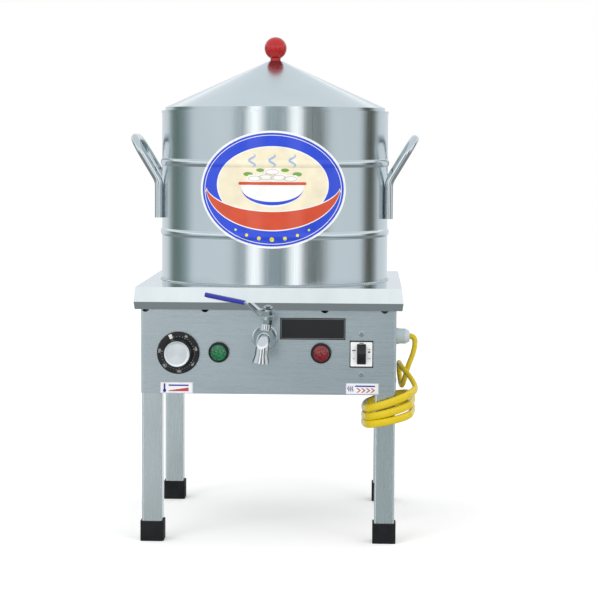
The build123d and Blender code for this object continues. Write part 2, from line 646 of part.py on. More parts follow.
def dial():
    back = FRONT - DIAL_GAP
    step = back - DIAL_SKIRT
    front = step - DIAL_GRIP
    skirt = rod_y(DIAL_SKIRT_R, step, back, DIAL_X, DIAL_Z)
    skirt = chamfer(skirt.edges().group_by(Axis.Y)[0], DIAL_SKIRT * 0.45)
    grip = Cone(DIAL_GRIP_R, DIAL_GRIP_TIP_R, DIAL_GRIP)
    knob = skirt + Pos(DIAL_X, (step + front) / 2, DIAL_Z) * Rot(90, 0, 0) * grip
    for i in range(FLUTES):
        turn = radians(360 / FLUTES * i)
        x, z = DIAL_X + DIAL_GRIP_R * cos(turn), DIAL_Z + DIAL_GRIP_R * sin(turn)
        knob -= rod_y(FLUTE_R, front - 1, step, x, z)
    knob -= rod_y(CAP_R + LOOSE_FIT, front - 1, front + CAP_SUNK, DIAL_X, DIAL_Z)
    knob -= rod_y(SHAFT_R + LOOSE_FIT, step - DIAL_GRIP * 0.6, back + 1, DIAL_X, DIAL_Z)
    save("dial_knob", knob)
    save("dial_cap", rod_y(CAP_R, front + CAP_SUNK - CAP_THICK, front + CAP_SUNK, DIAL_X, DIAL_Z))


def lamps():
    nuts = []
    rear = FRONT + CASE_SHEET
    front = FRONT - LAMP_BEZEL
    for colour, x in (("green", LAMP_GREEN_X), ("red", LAMP_RED_X)):
        bezel = rod_y(LAMP_BEZEL_R, front, FRONT, x, LAMP_Z)
        bezel = chamfer(bezel.edges().group_by(Axis.Y)[0], LAMP_BEZEL / 4)
        housing = bezel + rod_y(LAMP_HOLE_R, FRONT, rear + LAMP_BARREL, x, LAMP_Z)
        seat = front + LAMP_BEZEL / 2
        housing -= rod_y(LAMP_LENS_R + LOOSE_FIT, front - 1, seat, x, LAMP_Z)
        save(f"lamp_{colour}_housing", housing)
        lens = rod_y(LAMP_LENS_R, front - LAMP_LENS_EDGE, seat, x, LAMP_Z)
        dome_r = (LAMP_LENS_R ** 2 + LAMP_LENS_DOME ** 2) / (2 * LAMP_LENS_DOME)
        dome_y = front - LAMP_LENS_EDGE - LAMP_LENS_DOME + dome_r
        dome = Pos(x, dome_y, LAMP_Z) * Sphere(dome_r)
        lens += dome & rod_y(LAMP_LENS_R, dome_y - dome_r - 1, front - LAMP_LENS_EDGE + 0.5, x, LAMP_Z)
        save(f"lamp_{colour}_lens", lens)
        nut = hex_y(LAMP_NUT_AF, rear, rear + LAMP_NUT, x, LAMP_Z)
        nuts.append(nut - rod_y(LAMP_HOLE_R + LOOSE_FIT, rear - 1, rear + LAMP_NUT + 1, x, LAMP_Z))
    save("lamp_nuts", solids(nuts))


def breaker():
    rear = FRONT + CASE_SHEET
    face = FRONT - BREAKER_PROUD
    pivot = face + TOGGLE_PIVOT
    wheel = hypot(TOGGLE_PIVOT, TOGGLE_H / 2)
    body = block(BREAKER_X, rear + BREAKER_DEPTH / 2, BREAKER_Z - BREAKER_BODY_H / 2,
                 BREAKER_HOLE_W - 2, BREAKER_DEPTH, BREAKER_BODY_H)
    body += block(BREAKER_X, (face + rear) / 2, BREAKER_Z - BREAKER_FACE_H / 2,
                  BREAKER_FACE_W, rear - face, BREAKER_FACE_H)
    slot = TOGGLE_W / 2 + TOGGLE_SIDE
    body -= rod_x(wheel + TOGGLE_SIDE, BREAKER_X - slot, BREAKER_X + slot, pivot, BREAKER_Z)
    pin = slot + 2 * TOGGLE_PIN_R
    body -= rod_x(TOGGLE_PIN_R + RUN_FIT, BREAKER_X - pin, BREAKER_X + pin, pivot, BREAKER_Z)
    for side in (-1, 1):
        z = BREAKER_Z + side * BREAKER_SCREW_PITCH / 2
        body -= rod_y(SCREW_R + LOOSE_FIT, rear - 1, rear + SCREW_LENGTH, BREAKER_X, z)
    save("breaker_body", body)
    half = TOGGLE_W / 2
    toggle = rod_x(wheel, BREAKER_X - half, BREAKER_X + half, pivot, BREAKER_Z)
    # The finger bump starts at the upper end of its travel
    lean = radians(TOGGLE_THROW / 2)
    bump_y, bump_z = pivot - wheel * cos(lean), BREAKER_Z + wheel * sin(lean)
    toggle += Pos(BREAKER_X, bump_y, bump_z) * Rot(-TOGGLE_THROW / 2, 0, 0) * Box(
        TOGGLE_W, 2 * TOGGLE_BUMP, 2 * TOGGLE_BUMP)
    pin -= 0.3
    toggle += rod_x(TOGGLE_PIN_R, BREAKER_X - pin, BREAKER_X + pin, pivot, BREAKER_Z)
    save("breaker_toggle", toggle)


def plates():
    plate = RectangleRounded(PLATE_W, PLATE_H, 1.0)
    save("nameplate", Pos(PLATE_X, FRONT, PLATE_Z) * Rot(90, 0, 0) * extrude(plate, PLATE_THICK))
    label = extrude(Rectangle(LABEL_W, LABEL_H), LABEL_THICK)
    save("labels", solids([Pos(x, FRONT, z) * Rot(90, 0, 0) * label for x, z in LABELS]))
    x, y = BLOCK_X, BLOCK_Y
    width, depth, height = BLOCK_SIZE
    ceramic = block(x, y, COVER_TOP, width, depth, height)
    for i in range(BLOCK_WAYS):
        way = x + width / BLOCK_WAYS * (i - (BLOCK_WAYS - 1) / 2)
        ceramic -= rod_y(height / 5, y - depth, y + depth, way, COVER_TOP + height / 2)
    save("terminal_block", ceramic)


# ---------------------------------------------------------------- drain tap
def drain_pipe():
    rear = BALL_Y + TAP_REAR - TAP_SOCKET
    points = [(TAP_X, PIPE_DROP_Y, FLOOR_TOP), (TAP_X, PIPE_DROP_Y, TAP_Z), (TAP_X, rear, TAP_Z)]
    save("drain_pipe", tube(FilletPolyline(*points, radius=PIPE_BEND_R), PIPE_R, PIPE_R - PIPE_WALL))
    flange = rod_y(FLANGE_R, FRONT - FLANGE_THICK, FRONT, TAP_X, TAP_Z)
    flange = fillet(flange.edges().group_by(Axis.Y)[0], FLANGE_THICK * 0.4)
    flange -= rod_y(PIPE_R + LOOSE_FIT, FRONT - FLANGE_THICK - 1, FRONT + 1, TAP_X, TAP_Z)
    save("tap_flange", flange)


def tap_body():
    body = hex_y(TAP_HEX_AF, TAP_REAR - TAP_HEX_REAR, TAP_REAR, 0, 0)
    body += rod_y(TAP_BELLY_R, -TAP_FRONT + TAP_HEX_FRONT, TAP_REAR - TAP_HEX_REAR, 0, 0)
    body += hex_y(TAP_HEX_AF, -TAP_FRONT, -TAP_FRONT + TAP_HEX_FRONT, 0, 0)
    body += rod_z(BONNET_R, 0, BONNET_TOP)
    seat_y = BALL_R + SEAT_LENGTH / 2
    body -= rod_y(TAP_BORE_R, -TAP_FRONT - 1, TAP_REAR + 1, 0, 0)
    body -= rod_y(PIPE_R + LOOSE_FIT, TAP_REAR - TAP_SOCKET, TAP_REAR + 1, 0, 0)
    body -= rod_y(BALL_R + 4 * RUN_FIT, -BALL_R / 2 - SEAT_LENGTH, BALL_R / 2 + SEAT_LENGTH, 0, 0)
    body -= rod_z(STEM_R + RUN_FIT, 0, BONNET_TOP + 1)
    save("tap_body", TAP_PLACE * body)
    seats = []
    for side in (-1, 1):
        near, far = side * BALL_R / 2, side * (BALL_R / 2 + SEAT_LENGTH)
        seat = rod_y(SEAT_R, near, far, 0, 0)
        seat -= rod_y(BALL_BORE_R, near - side, far + side, 0, 0)
        seats.append(TAP_PLACE * (seat - Sphere(BALL_R + RUN_FIT)))
    save("tap_seats", solids(seats))
    nut = hex_z(GLAND_NUT_AF, BONNET_TOP, BONNET_TOP + GLAND_NUT)
    nut -= rod_z(STEM_R + RUN_FIT, BONNET_TOP - 1, BONNET_TOP + GLAND_NUT + 1)
    save("tap_gland_nut", TAP_PLACE * nut)


def tap_spout():
    """A curved spout that flares into an oval mouth."""
    axis_y = -TAP_FRONT - SPOUT_REACH
    points = [(0, -TAP_FRONT, 0), (0, axis_y, 0), (0, axis_y, -SPOUT_NECK)]
    path = FilletPolyline(*points, radius=SPOUT_BEND_R)
    neck = Pos(0, axis_y, -SPOUT_NECK)
    mouth = Pos(0, axis_y, -SPOUT_DROP)
    wall = SPOUT_R - SPOUT_BORE_R
    outer = tube(path, SPOUT_R)
    outer += loft([mouth * Ellipse(SPOUT_MOUTH_W / 2, SPOUT_MOUTH_D / 2), neck * Circle(SPOUT_R)])
    bore = tube(path, SPOUT_BORE_R)
    bore += loft([mouth * Ellipse(SPOUT_MOUTH_W / 2 - wall, SPOUT_MOUTH_D / 2 - wall), neck * Circle(SPOUT_BORE_R)])
    save("tap_spout", TAP_PLACE * (outer - bore))


def tap_lever():
    ball = Sphere(BALL_R) - rod_x(BALL_BORE_R, -BALL_R - 1, BALL_R + 1, 0, 0)
    key = Box(STEM_R * 1.8, STEM_TANG, STEM_TANG)
    ball -= Pos(0, 0, BALL_R - STEM_TANG / 2) * Box(3 * STEM_R, STEM_TANG + 2 * RUN_FIT, STEM_TANG + 2)
    save("tap_ball", TAP_PLACE * ball)
    stem = rod_z(STEM_R, BALL_R + 0.5, STEM_TOP)
    stem += Pos(0, 0, BALL_R - STEM_TANG / 2 + 1) * key
    save("tap_stem", TAP_PLACE * stem)
    # The strap is drawn from the side and given its width
    step_x = -STEM_R - LEVER_FLAT - LEVER_STEP_X
    step_z = LEVER_Z + LEVER_STEP_Z
    far_x, far_z = step_x - LEVER_LONG_X, step_z + LEVER_LONG_Z
    nose = STEM_R + LEVER_FLAT * 0.6
    line = Polyline((nose, 0, LEVER_Z - LEVER_STOP), (nose, 0, LEVER_Z), (-STEM_R - LEVER_FLAT, 0, LEVER_Z),
                    (step_x, 0, step_z), (far_x, 0, far_z))
    strap = Pos(0, LEVER_W / 2, 0) * extrude(thick_line(line, LEVER_THICK), LEVER_W, dir=(0, -1, 0))
    strap -= rod_z(STEM_R + LOOSE_FIT, LEVER_Z - 1, LEVER_Z + LEVER_THICK + 1)
    save("tap_lever", TAP_PLACE * strap)
    # The sleeve lies along the strap's long run and past its end
    run = hypot(LEVER_LONG_X, LEVER_LONG_Z)
    slope = degrees(atan2(LEVER_LONG_Z, LEVER_LONG_X))
    centre = Pos((step_x + far_x) / 2, 0, (step_z + far_z + LEVER_THICK) / 2) * Rot(0, slope, 0)
    sleeve = Pos(-SLEEVE_LAP / 2, 0, 0) * Box(run + SLEEVE_LAP - 4, SLEEVE_W, SLEEVE_THICK)
    sleeve = fillet(sleeve.edges().filter_by(Axis.X), SLEEVE_THICK * 0.42)
    pocket = Box(2 * run, LEVER_W + 2 * FILM_GAP, LEVER_THICK + 2 * FILM_GAP)
    pocket &= Pos(run, 0, 0) * Box(3 * run + 2 * FILM_GAP, 2 * SLEEVE_W, 2 * SLEEVE_THICK)
    save("lever_sleeve", TAP_PLACE * (centre * (sleeve - pocket)))
    nut = hex_z(LEVER_NUT_AF, LEVER_Z + LEVER_THICK, LEVER_Z + LEVER_THICK + LEVER_NUT)
    nut -= rod_z(STEM_R + LOOSE_FIT, LEVER_Z, STEM_TOP)
    save("lever_nut", TAP_PLACE * nut)


def thick_line(line, thickness):
    """The face between a bent line in the XZ plane and its copy one thickness above it."""
    points = [line.position_at(0)] + [edge.position_at(1) for edge in line.edges()]
    upper = []
    for i, point in enumerate(points):
        before = points[i] - points[i - 1] if i else points[1] - points[0]
        after = points[i + 1] - point if i < len(points) - 1 else before
        a, b = before.normalized(), after.normalized()
        normal_a, normal_b = Vector(a.Z, 0, -a.X), Vector(b.Z, 0, -b.X)
        mitre = (normal_a + normal_b).normalized()
        upper.append(point + mitre * (thickness / mitre.dot(normal_a)))
    outline = points + upper[::-1]
    return make_face(Polyline(*outline, close=True))


# ---------------------------------------------------------------- gland, lead and plug
def cable_gland():
    mouth = HALF + GLAND_REACH
    knee = HALF + GLAND_FLANGE
    body = rod_x(GLAND_FLANGE_R, HALF, knee, GLAND_Y, GLAND_Z)
    body += rod_x(GLAND_DOME_R, knee, mouth - GLAND_REACH * 0.3, GLAND_Y, GLAND_Z)
    body += cone_x(GLAND_DOME_R, GLAND_TIP_R, mouth - GLAND_REACH * 0.3, mouth, GLAND_Y, GLAND_Z)
    body += rod_x(GLAND_THREAD_R, INSIDE - GLAND_TAIL, HALF, GLAND_Y, GLAND_Z)
    body -= rod_x(CORD_D / 2 + LOOSE_FIT, INSIDE - GLAND_TAIL - 1, mouth + 1, GLAND_Y, GLAND_Z)
    save("cable_gland", body)
    nut = rod_x(GLAND_NUT_R, INSIDE - GLAND_LOCKNUT, INSIDE, GLAND_Y, GLAND_Z)
    nut -= rod_x(GLAND_THREAD_R + LOOSE_FIT, INSIDE - GLAND_LOCKNUT - 1, INSIDE + 1, GLAND_Y, GLAND_Z)
    save("gland_locknut", nut)


def soft_radii(points):
    """The largest arcs that the runs on both sides of each corner leave room for."""
    radii = []
    spots = [Vector(*p) for p in points]
    for before, corner, after in zip(spots, spots[1:], spots[2:]):
        turn = radians((corner - before).get_angle(after - corner))
        shorter = min((corner - before).length, (after - corner).length)
        radii.append(0.45 * shorter / tan(turn / 2))
    return radii


class Coil:
    """Oval turns round the leg, seen from above as two end arcs joined by two flatter side arcs.

    A place on it is given by phi, the angle of its outward normal, which runs down from the
    start on the right side: right, front, left, back and right again.
    """
    end_y = COIL_HALF_L - COIL_END_R
    side_r = (COIL_HALF_W ** 2 + end_y ** 2 - COIL_END_R ** 2) / (2 * (COIL_HALF_W - COIL_END_R))
    split = atan2(end_y, side_r - COIL_HALF_W)         # where side arcs meet end arcs
    side_run = side_r * 2 * split
    end_run = COIL_END_R * (pi - 2 * split)
    turn_run = 2 * (side_run + end_run)
    start = -split
    finish = -pi - 2 * pi * COIL_TURNS - COIL_LAST

    @classmethod
    def arc_centre(cls, phi):
        if abs(sin(phi)) > sin(cls.split) - 1e-9:
            return 0.0, cls.end_y if sin(phi) > 0 else -cls.end_y, COIL_END_R
        side = 1 if cos(phi) > 0 else -1
        return side * (COIL_HALF_W - cls.side_r), 0.0, cls.side_r

    @classmethod
    def run(cls, phi):
        """Length along the turns from the first pass of the leg's front, negative before it."""
        quarters = (-phi - pi / 2) / (pi / 2)
        whole = round(quarters)
        rest = (-phi - pi / 2) - whole * pi / 2
        length = whole * cls.turn_run / 4
        half_side, half_end = cls.side_run / 2, cls.end_run / 2
        at_end = whole % 2 == 0
        edge = pi / 2 - cls.split if at_end else cls.split
        first, radius, other = (half_end, COIL_END_R, cls.side_r) if at_end else (
            half_side, cls.side_r, COIL_END_R)
        sign = 1 if rest >= 0 else -1
        size = abs(rest)
        return length + sign * (size * radius if size <= edge else first + (size - edge) * other)

    @classmethod
    def place(cls, phi):
        """Position and direction of the lead's centre line."""
        cx, cy, radius = cls.arc_centre(phi)
        x, y = cx + radius * cos(phi), cy + radius * sin(phi)
        turns = cls.run(phi) / cls.turn_run
        tilt = COIL_TILT - COIL_UNTILT * turns
        z = COIL_Z - COIL_DROP * turns + COIL_CATCH * turns ** 2 + tilt * x
        dx, dy = sin(phi), -cos(phi)
        dz = (-COIL_DROP + 2 * COIL_CATCH * turns - COIL_UNTILT * x) / cls.turn_run + tilt * dx
        return Vector(COIL_X + x, COIL_Y + y, z), Vector(dx, dy, dz).normalized()

    @classmethod
    def stations(cls):
        """The normals where one arc of a turn hands over to the next."""
        marks, phi = [cls.start], -pi / 2
        while phi > cls.finish + 0.01:
            marks.append(phi)
            quarter = round(-phi / (pi / 2))
            if quarter % 2:
                marks += [phi - pi / 2 + cls.split]
            else:
                marks += [phi - cls.split]
            phi -= pi / 2
        return marks + [cls.finish]


def biarc(p0, t0, p1, t1):
    """Two arcs that leave p0 along t0, meet smoothly and reach p1 along t1."""
    v, t = p1 - p0, t0 + t1
    a = 2 * (1 - t0.dot(t1))
    vt = v.dot(t)
    d = (-vt + sqrt(vt * vt + a * v.dot(v))) / a
    joint = ((p0 + t0 * d) + (p1 - t1 * d)) * 0.5
    middle = (p1 - t1 * d - p0 - t0 * d).normalized()
    return [Edge.make_tangent_arc(p0, t0, joint), Edge.make_tangent_arc(joint, middle, p1)]


def coil_path():
    """The coil's centre line: straight for one diameter at each end, arcs between."""
    spots = [Coil.place(phi) for phi in Coil.stations()]
    first, last = spots[0], spots[-1]
    edges = [Edge.make_line(first[0] - first[1] * CORD_D, first[0])]
    for (p0, t0), (p1, t1) in zip(spots, spots[1:]):
        edges += biarc(p0, t0, p1, t1)
    edges.append(Edge.make_line(last[0], last[0] + last[1] * CORD_D))
    return Wire(edges)


def least_gap(wire, diameter):
    """The smallest gap between parts of the line that are more than a few diameters apart along it."""
    count = int(wire.length / (diameter / 4))
    points = [wire.position_at(i / count) for i in range(count + 1)]
    skip = int(5 * diameter / (wire.length / count))
    gaps = [(a - b).length for i, a in enumerate(points) for b in points[i + skip:]]
    return min(gaps) - diameter


def lead():
    coil = coil_path()
    mouth = HALF + GLAND_REACH
    start_dir, end_dir = coil.tangent_at(0), coil.tangent_at(1)
    start, end = coil.position_at(0), coil.position_at(1)
    drop = [(mouth - CORD_START, GLAND_Y, GLAND_Z)] + list(DROP_POINTS) + [start - start_dir * LEAD_IN, start]
    tail = [end, end + end_dir * (LEAD_IN + 2)] + list(TAIL_POINTS)
    tail += [(PLUG_X, PLUG_Y, PLUG_TOP + 2 * CORD_D), (PLUG_X, PLUG_Y, PLUG_TOP)]
    length = coil.length
    for name, points in (("cord_drop", drop), ("cord_tail", tail)):
        radii = soft_radii(points)
        path = FilletPolyline(*points, radius=radii)
        shape = tube(path, CORD_D / 2)
        save(name, shape)
        length += path.length
        expected = pi * CORD_D ** 2 / 4 * path.length
        print(name, "radii", [round(r, 1) for r in radii], "volume share", round(shape.volume / expected, 4))
    coil_tube = sweep(Plane(origin=start, z_dir=start_dir) * Circle(CORD_D / 2), path=coil)
    save("cord_coil", coil_tube)
    share = coil_tube.volume / (pi * CORD_D ** 2 / 4 * coil.length)
    print("cord_coil length", round(coil.length, 1), "volume share", round(share, 4),
          "least gap", round(least_gap(coil, CORD_D), 2))
    print("lead length", round(length, 1))


def plug():
    body = Pos(PLUG_X, PLUG_Y, PLUG_TOP - PLUG_NECK - PLUG_LENGTH)
    shell = extrude(RectangleRounded(PLUG_W, PLUG_D, PLUG_D * 0.3), PLUG_LENGTH)
    shell += loft([Pos(0, 0, PLUG_LENGTH) * RectangleRounded(PLUG_W - 4, PLUG_D - 2, PLUG_D * 0.3),
                   Pos(0, 0, PLUG_LENGTH + PLUG_NECK) * RectangleRounded(CORD_D + 3, CORD_D + 2, CORD_D * 0.4)])
    save("plug_body", body * shell)
    face = PLUG_TOP - PLUG_NECK - PLUG_LENGTH
    pins = []
    for side in (-1, 1):
        x = PLUG_X + side * PIN_PITCH / 2
        pin = rod_z(PIN_R, face - PIN_LENGTH, face, x, PLUG_Y)
        pins.append(fillet(pin.edges().group_by(Axis.Z)[0], PIN_R * 0.6))
    save("plug_pins", solids(pins))


# ---------------------------------------------------------------- the whole
def build():
    legs()
    boots()
    tray()
    casing()
    bottom_cover()
    panel_screws()
    pot_wall()
    pot_bottom()
    save("handle_left", handle(-1))
    save("handle_right", handle(1))
    lugs()
    badge()
    heaters()
    fittings()
    steaming_hoop()
    lid()
    thermostat()
    dial()
    lamps()
    breaker()
    plates()
    drain_pipe()
    tap_body()
    tap_spout()
    tap_lever()
    cable_gland()
    lead()
    plug()


def write():
    os.makedirs("parts", exist_ok=True)
    for name, shape in PARTS.items():
        export_step(Pos(0, POT_Y, 0) * shape, f"parts/{name}.step")
    print(len(PARTS), "sub-parts; the pot's axis is at y", round(POT_Y, 3))


build()
write()
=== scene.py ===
"""The dressed rice noodle roll steamer: finishes, print, lead and small detail on its frame."""
import json
from math import atan2, cos, hypot, pi, radians, sin, sqrt

import bmesh
import bpy
from mathutils import Matrix, Vector

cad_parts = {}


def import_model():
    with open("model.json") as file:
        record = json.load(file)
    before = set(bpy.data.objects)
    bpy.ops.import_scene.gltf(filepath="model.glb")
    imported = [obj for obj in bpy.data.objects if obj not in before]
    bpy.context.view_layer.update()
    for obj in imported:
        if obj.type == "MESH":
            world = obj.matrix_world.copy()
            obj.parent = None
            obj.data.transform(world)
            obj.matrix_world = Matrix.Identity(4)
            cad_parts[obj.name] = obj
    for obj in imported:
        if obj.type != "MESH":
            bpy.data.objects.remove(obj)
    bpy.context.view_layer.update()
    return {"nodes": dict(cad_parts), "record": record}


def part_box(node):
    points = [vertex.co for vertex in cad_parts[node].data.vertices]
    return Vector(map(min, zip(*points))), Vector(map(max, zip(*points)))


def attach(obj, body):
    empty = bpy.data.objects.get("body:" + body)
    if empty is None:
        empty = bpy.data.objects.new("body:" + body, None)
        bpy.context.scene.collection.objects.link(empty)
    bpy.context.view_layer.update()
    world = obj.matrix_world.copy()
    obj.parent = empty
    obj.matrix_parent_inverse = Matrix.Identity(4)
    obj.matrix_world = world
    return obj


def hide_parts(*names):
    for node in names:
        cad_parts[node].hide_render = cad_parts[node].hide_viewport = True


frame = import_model()
NODES = frame["nodes"]
MM = 0.001

# ------------------------ places read from the frame
POT_Y = sum(Vector(p).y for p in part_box("pot_wall")) / 2     # the pot's axis stands at x 0
POT_R = 177.0                                   # mm, outside of the pot's wall
PANEL_Y = min(Vector(p).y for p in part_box("casing"))         # front panel's outer face


def box_mm(node):
    """The low and high corners of a CAD node's box, in mm."""
    return [Vector(p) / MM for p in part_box(node)]


def middle(node):
    """The middle of a CAD node as the front shows it: x and z in mm."""
    low, high = box_mm(node)
    return (low.x + high.x) / 2, (low.z + high.z) / 2


def m(x, y, z):
    """Millimetres about the pot's axis, in the row frame's metres."""
    return (x * MM, y * MM + POT_Y, z * MM)


# ------------------------ camera
CAMERA_PLACE = (143.9, -3110.7, 604.9)          # mm, about the pot's axis
CAMERA_YAW, CAMERA_PITCH, CAMERA_ROLL = 0.0338, 0.0797, -0.0054        # radians
PHOTO_WIDTH = 598                               # pixels
FOCAL_PIXELS = 1976.76
SENSOR_WIDTH = 36.0                             # mm
CLIP_NEAR, CLIP_FAR = 0.1, 50                   # m


def camera():
    """The photo's camera, from its place, its turns and its focal length."""
    forward = Vector((-sin(CAMERA_YAW) * cos(CAMERA_PITCH), cos(CAMERA_YAW) * cos(CAMERA_PITCH),
                      -sin(CAMERA_PITCH)))
    level = Vector((cos(CAMERA_YAW), sin(CAMERA_YAW), 0))
    down = forward.cross(level)
    right = level * cos(CAMERA_ROLL) + down * sin(CAMERA_ROLL)
    up = right.cross(forward)
    data = bpy.data.cameras.new("camera")
    data.sensor_width = SENSOR_WIDTH
    data.lens = FOCAL_PIXELS / PHOTO_WIDTH * data.sensor_width
    data.clip_start, data.clip_end = CLIP_NEAR, CLIP_FAR
    made = bpy.data.objects.new("camera", data)
    turn = Matrix((right, up, -forward)).transposed().to_4x4()
    place = Vector(CAMERA_PLACE) * MM + Vector((0, POT_Y, 0))
    made.matrix_world = Matrix.Translation(place) @ turn
    bpy.context.collection.objects.link(made)
    bpy.context.scene.camera = made


# ------------------------ shader helpers
NOISE_LOW, NOISE_HIGH = 0.3, 0.7                # nearly all of a noise's values lie between these


class Shader:
    """A material under construction: its nodes, and its surface shader."""

    def __init__(self, name, color=(0.8, 0.8, 0.8), rough=0.5, metal=0.0, **sockets):
        self.mat = bpy.data.materials.new(name)
        self.mat.use_nodes = True
        self.tree = self.mat.node_tree
        self.bsdf = self.tree.nodes["Principled BSDF"]
        self.set("Base Color", (*color, 1))
        self.set("Roughness", rough)
        self.set("Metallic", metal)
        for key, value in sockets.items():
            self.set(key.replace("_", " "), value)
        self.color = color

    def set(self, socket, value):
        self.bsdf.inputs[socket].default_value = value

    def node(self, kind, **values):
        made = self.tree.nodes.new(kind)
        for key, value in values.items():
            if hasattr(made, key):
                setattr(made, key, value)
            else:
                made.inputs[key.replace("_", " ")].default_value = value
        return made

    def link(self, source, target):
        self.tree.links.new(source, target)

    def place(self, scale=(1, 1, 1)):
        """Object coordinates, stretched."""
        coords = self.node("ShaderNodeTexCoord")
        mapping = self.node("ShaderNodeMapping")
        mapping.inputs["Scale"].default_value = scale
        self.link(coords.outputs["Object"], mapping.inputs["Vector"])
        return mapping.outputs["Vector"]

    def noise(self, scale, detail=4.0, rough=0.6, stretch=(1, 1, 1)):
        made = self.node("ShaderNodeTexNoise", Scale=scale, Detail=detail, Roughness=rough)
        self.link(self.place(stretch), made.inputs["Vector"])
        return made.outputs["Fac"]

    def ramp(self, source, stops):
        made = self.node("ShaderNodeValToRGB")
        points = made.color_ramp.elements
        while len(points) < len(stops):
            points.new(0.5)
        for point, (at, value) in zip(points, stops):
            point.position = at
            point.color = (*value, 1) if hasattr(value, "__len__") else (value, value, value, 1)
        self.link(source, made.inputs["Fac"])
        return made.outputs["Color"]

    def span(self, source, low, high):
        """Noise, which lies about its middle, spread from low to high."""
        made = self.node("ShaderNodeMapRange")
        made.inputs["From Min"].default_value = NOISE_LOW
        made.inputs["From Max"].default_value = NOISE_HIGH
        made.inputs["To Min"].default_value = low
        made.inputs["To Max"].default_value = high
        self.link(source, made.inputs["Value"])
        return made.outputs["Result"]

    def tint(self, source, dark, light):
        """The base colour, varied between two shares of itself."""
        low = tuple(c * dark for c in self.color)
        high = tuple(min(c * light, 1) for c in self.color)
        stops = ((NOISE_LOW, low), (NOISE_HIGH, high))
        self.link(self.ramp(source, stops), self.bsdf.inputs["Base Color"])

    def bump(self, source, strength, distance):
        made = self.node("ShaderNodeBump", Strength=strength, Distance=distance)
        self.link(source, made.inputs["Height"])
        self.link(made.outputs["Normal"], self.bsdf.inputs["Normal"])


def brushed(name, color, rough, grain, fine=900.0, depth=0.00003, variation=0.06):
    """Steel sheet with its grain along the directions where grain is small."""
    made = Shader(name, color, rough, 1.0)
    lines = made.noise(fine, 3.0, 0.7, grain)
    clouds = made.noise(7.0, 3.0, 0.5)
    made.tint(clouds, 1 - variation, 1 + variation)
    made.link(made.span(lines, rough * 0.8, rough * 1.25), made.bsdf.inputs["Roughness"])
    made.bump(lines, 0.35, depth)
    return made.mat


def polished(name, color, rough):
    """Mirror-finished steel with faint wiping marks."""
    made = Shader(name, color, rough, 1.0)
    marks = made.noise(26.0, 5.0, 0.6, (1, 1, 0.35))
    made.link(made.span(marks, rough * 0.7, rough * 1.5), made.bsdf.inputs["Roughness"])
    made.tint(made.noise(5.0, 2.0), 0.97, 1.02)
    made.bump(made.noise(60.0, 2.0), 0.12, 0.00005)
    return made.mat


def moulded(name, color, rough, grain=2200.0, coat=0.0, depth=0.00003):
    """A plastic or rubber moulding: fine texture and a little uneven gloss."""
    made = Shader(name, color, rough, 0.0, Coat_Weight=coat)
    fine = made.noise(grain, 2.0)
    clouds = made.noise(40.0, 4.0)
    made.link(made.span(clouds, rough * 0.85, rough * 1.15), made.bsdf.inputs["Roughness"])
    made.tint(clouds, 0.92, 1.08)
    made.bump(fine, 0.2, depth)
    return made.mat


def paint(code):
    """A six-digit colour code as the linear numbers that shaders take."""
    shares = (int(code[i:i + 2], 16) / 255 for i in (0, 2, 4))
    return tuple(s / 12.92 if s <= 0.04045 else ((s + 0.055) / 1.055) ** 2.4 for s in shares)


# ------------------------ finishes
POT_COLOR = paint("C9D3D6")
SHEET_COLOR = paint("C3CED2")
LEG_COLOR = paint("D4DDDE")

ALONG_X, ALONG_Z = (0.006, 1, 1), (1, 1, 0.006)             # stretch of a noise into grain


def spun_steel():
    """The pot's sheet: bright, with fine upright grain and the faint marks of rolling it."""
    made = Shader("pot_steel", POT_COLOR, 0.17, 1.0)
    grain = made.noise(1500.0, 2.0, 0.6, ALONG_Z)
    clouds = made.noise(9.0, 3.0, 0.5, (1, 1, 0.25))
    made.tint(clouds, 0.95, 1.03)
    made.link(made.span(grain, 0.14, 0.24), made.bsdf.inputs["Roughness"])
    made.bump(grain, 0.25, 0.00002)
    return made.mat


def lens(name, color):
    """A coloured lamp lens: smooth outside, cut into small facets inside, whose highlight and shade
    are painted into its colour.
    """
    made = Shader(name, color, 0.12, 0.0, Coat_Weight=0.5)
    made.set("Coat Roughness", 0.04)
    cells = made.node("ShaderNodeTexVoronoi", Scale=430.0)
    made.link(made.place(), cells.inputs["Vector"])
    # Painted highlight and shade of the inner facets: each cell goes from a lighter copy of the
    # lens colour at its middle to a darker copy at its edge
    bright, dark = tuple(min(c * 1.9 + 0.03, 1) for c in color), tuple(c * 0.18 for c in color)
    stops = ((0.0, bright), (0.4, color), (0.8, dark))
    made.link(made.ramp(cells.outputs["Distance"], stops), made.bsdf.inputs["Base Color"])
    bump = made.node("ShaderNodeBump", Strength=0.7, Distance=0.0008)
    made.link(cells.outputs["Distance"], bump.inputs["Height"])
    made.link(bump.outputs["Normal"], made.bsdf.inputs["Normal"])
    return made.mat


def vinyl(name, color, rough):
    """Soft vinyl or PVC: light sinks in a little, and its gloss is uneven."""
    made = Shader(name, color, rough, 0.0, Subsurface_Weight=0.08)
    made.set("Subsurface Scale", 0.002)
    made.set("Subsurface Radius", (1.0, 0.8, 0.3))
    soft = made.noise(90.0, 4.0)
    made.link(made.span(soft, rough * 0.8, rough * 1.3), made.bsdf.inputs["Roughness"])
    made.tint(made.noise(22.0, 4.0), 0.93, 1.05)
    made.bump(made.noise(700.0, 3.0), 0.15, 0.00004)
    return made.mat


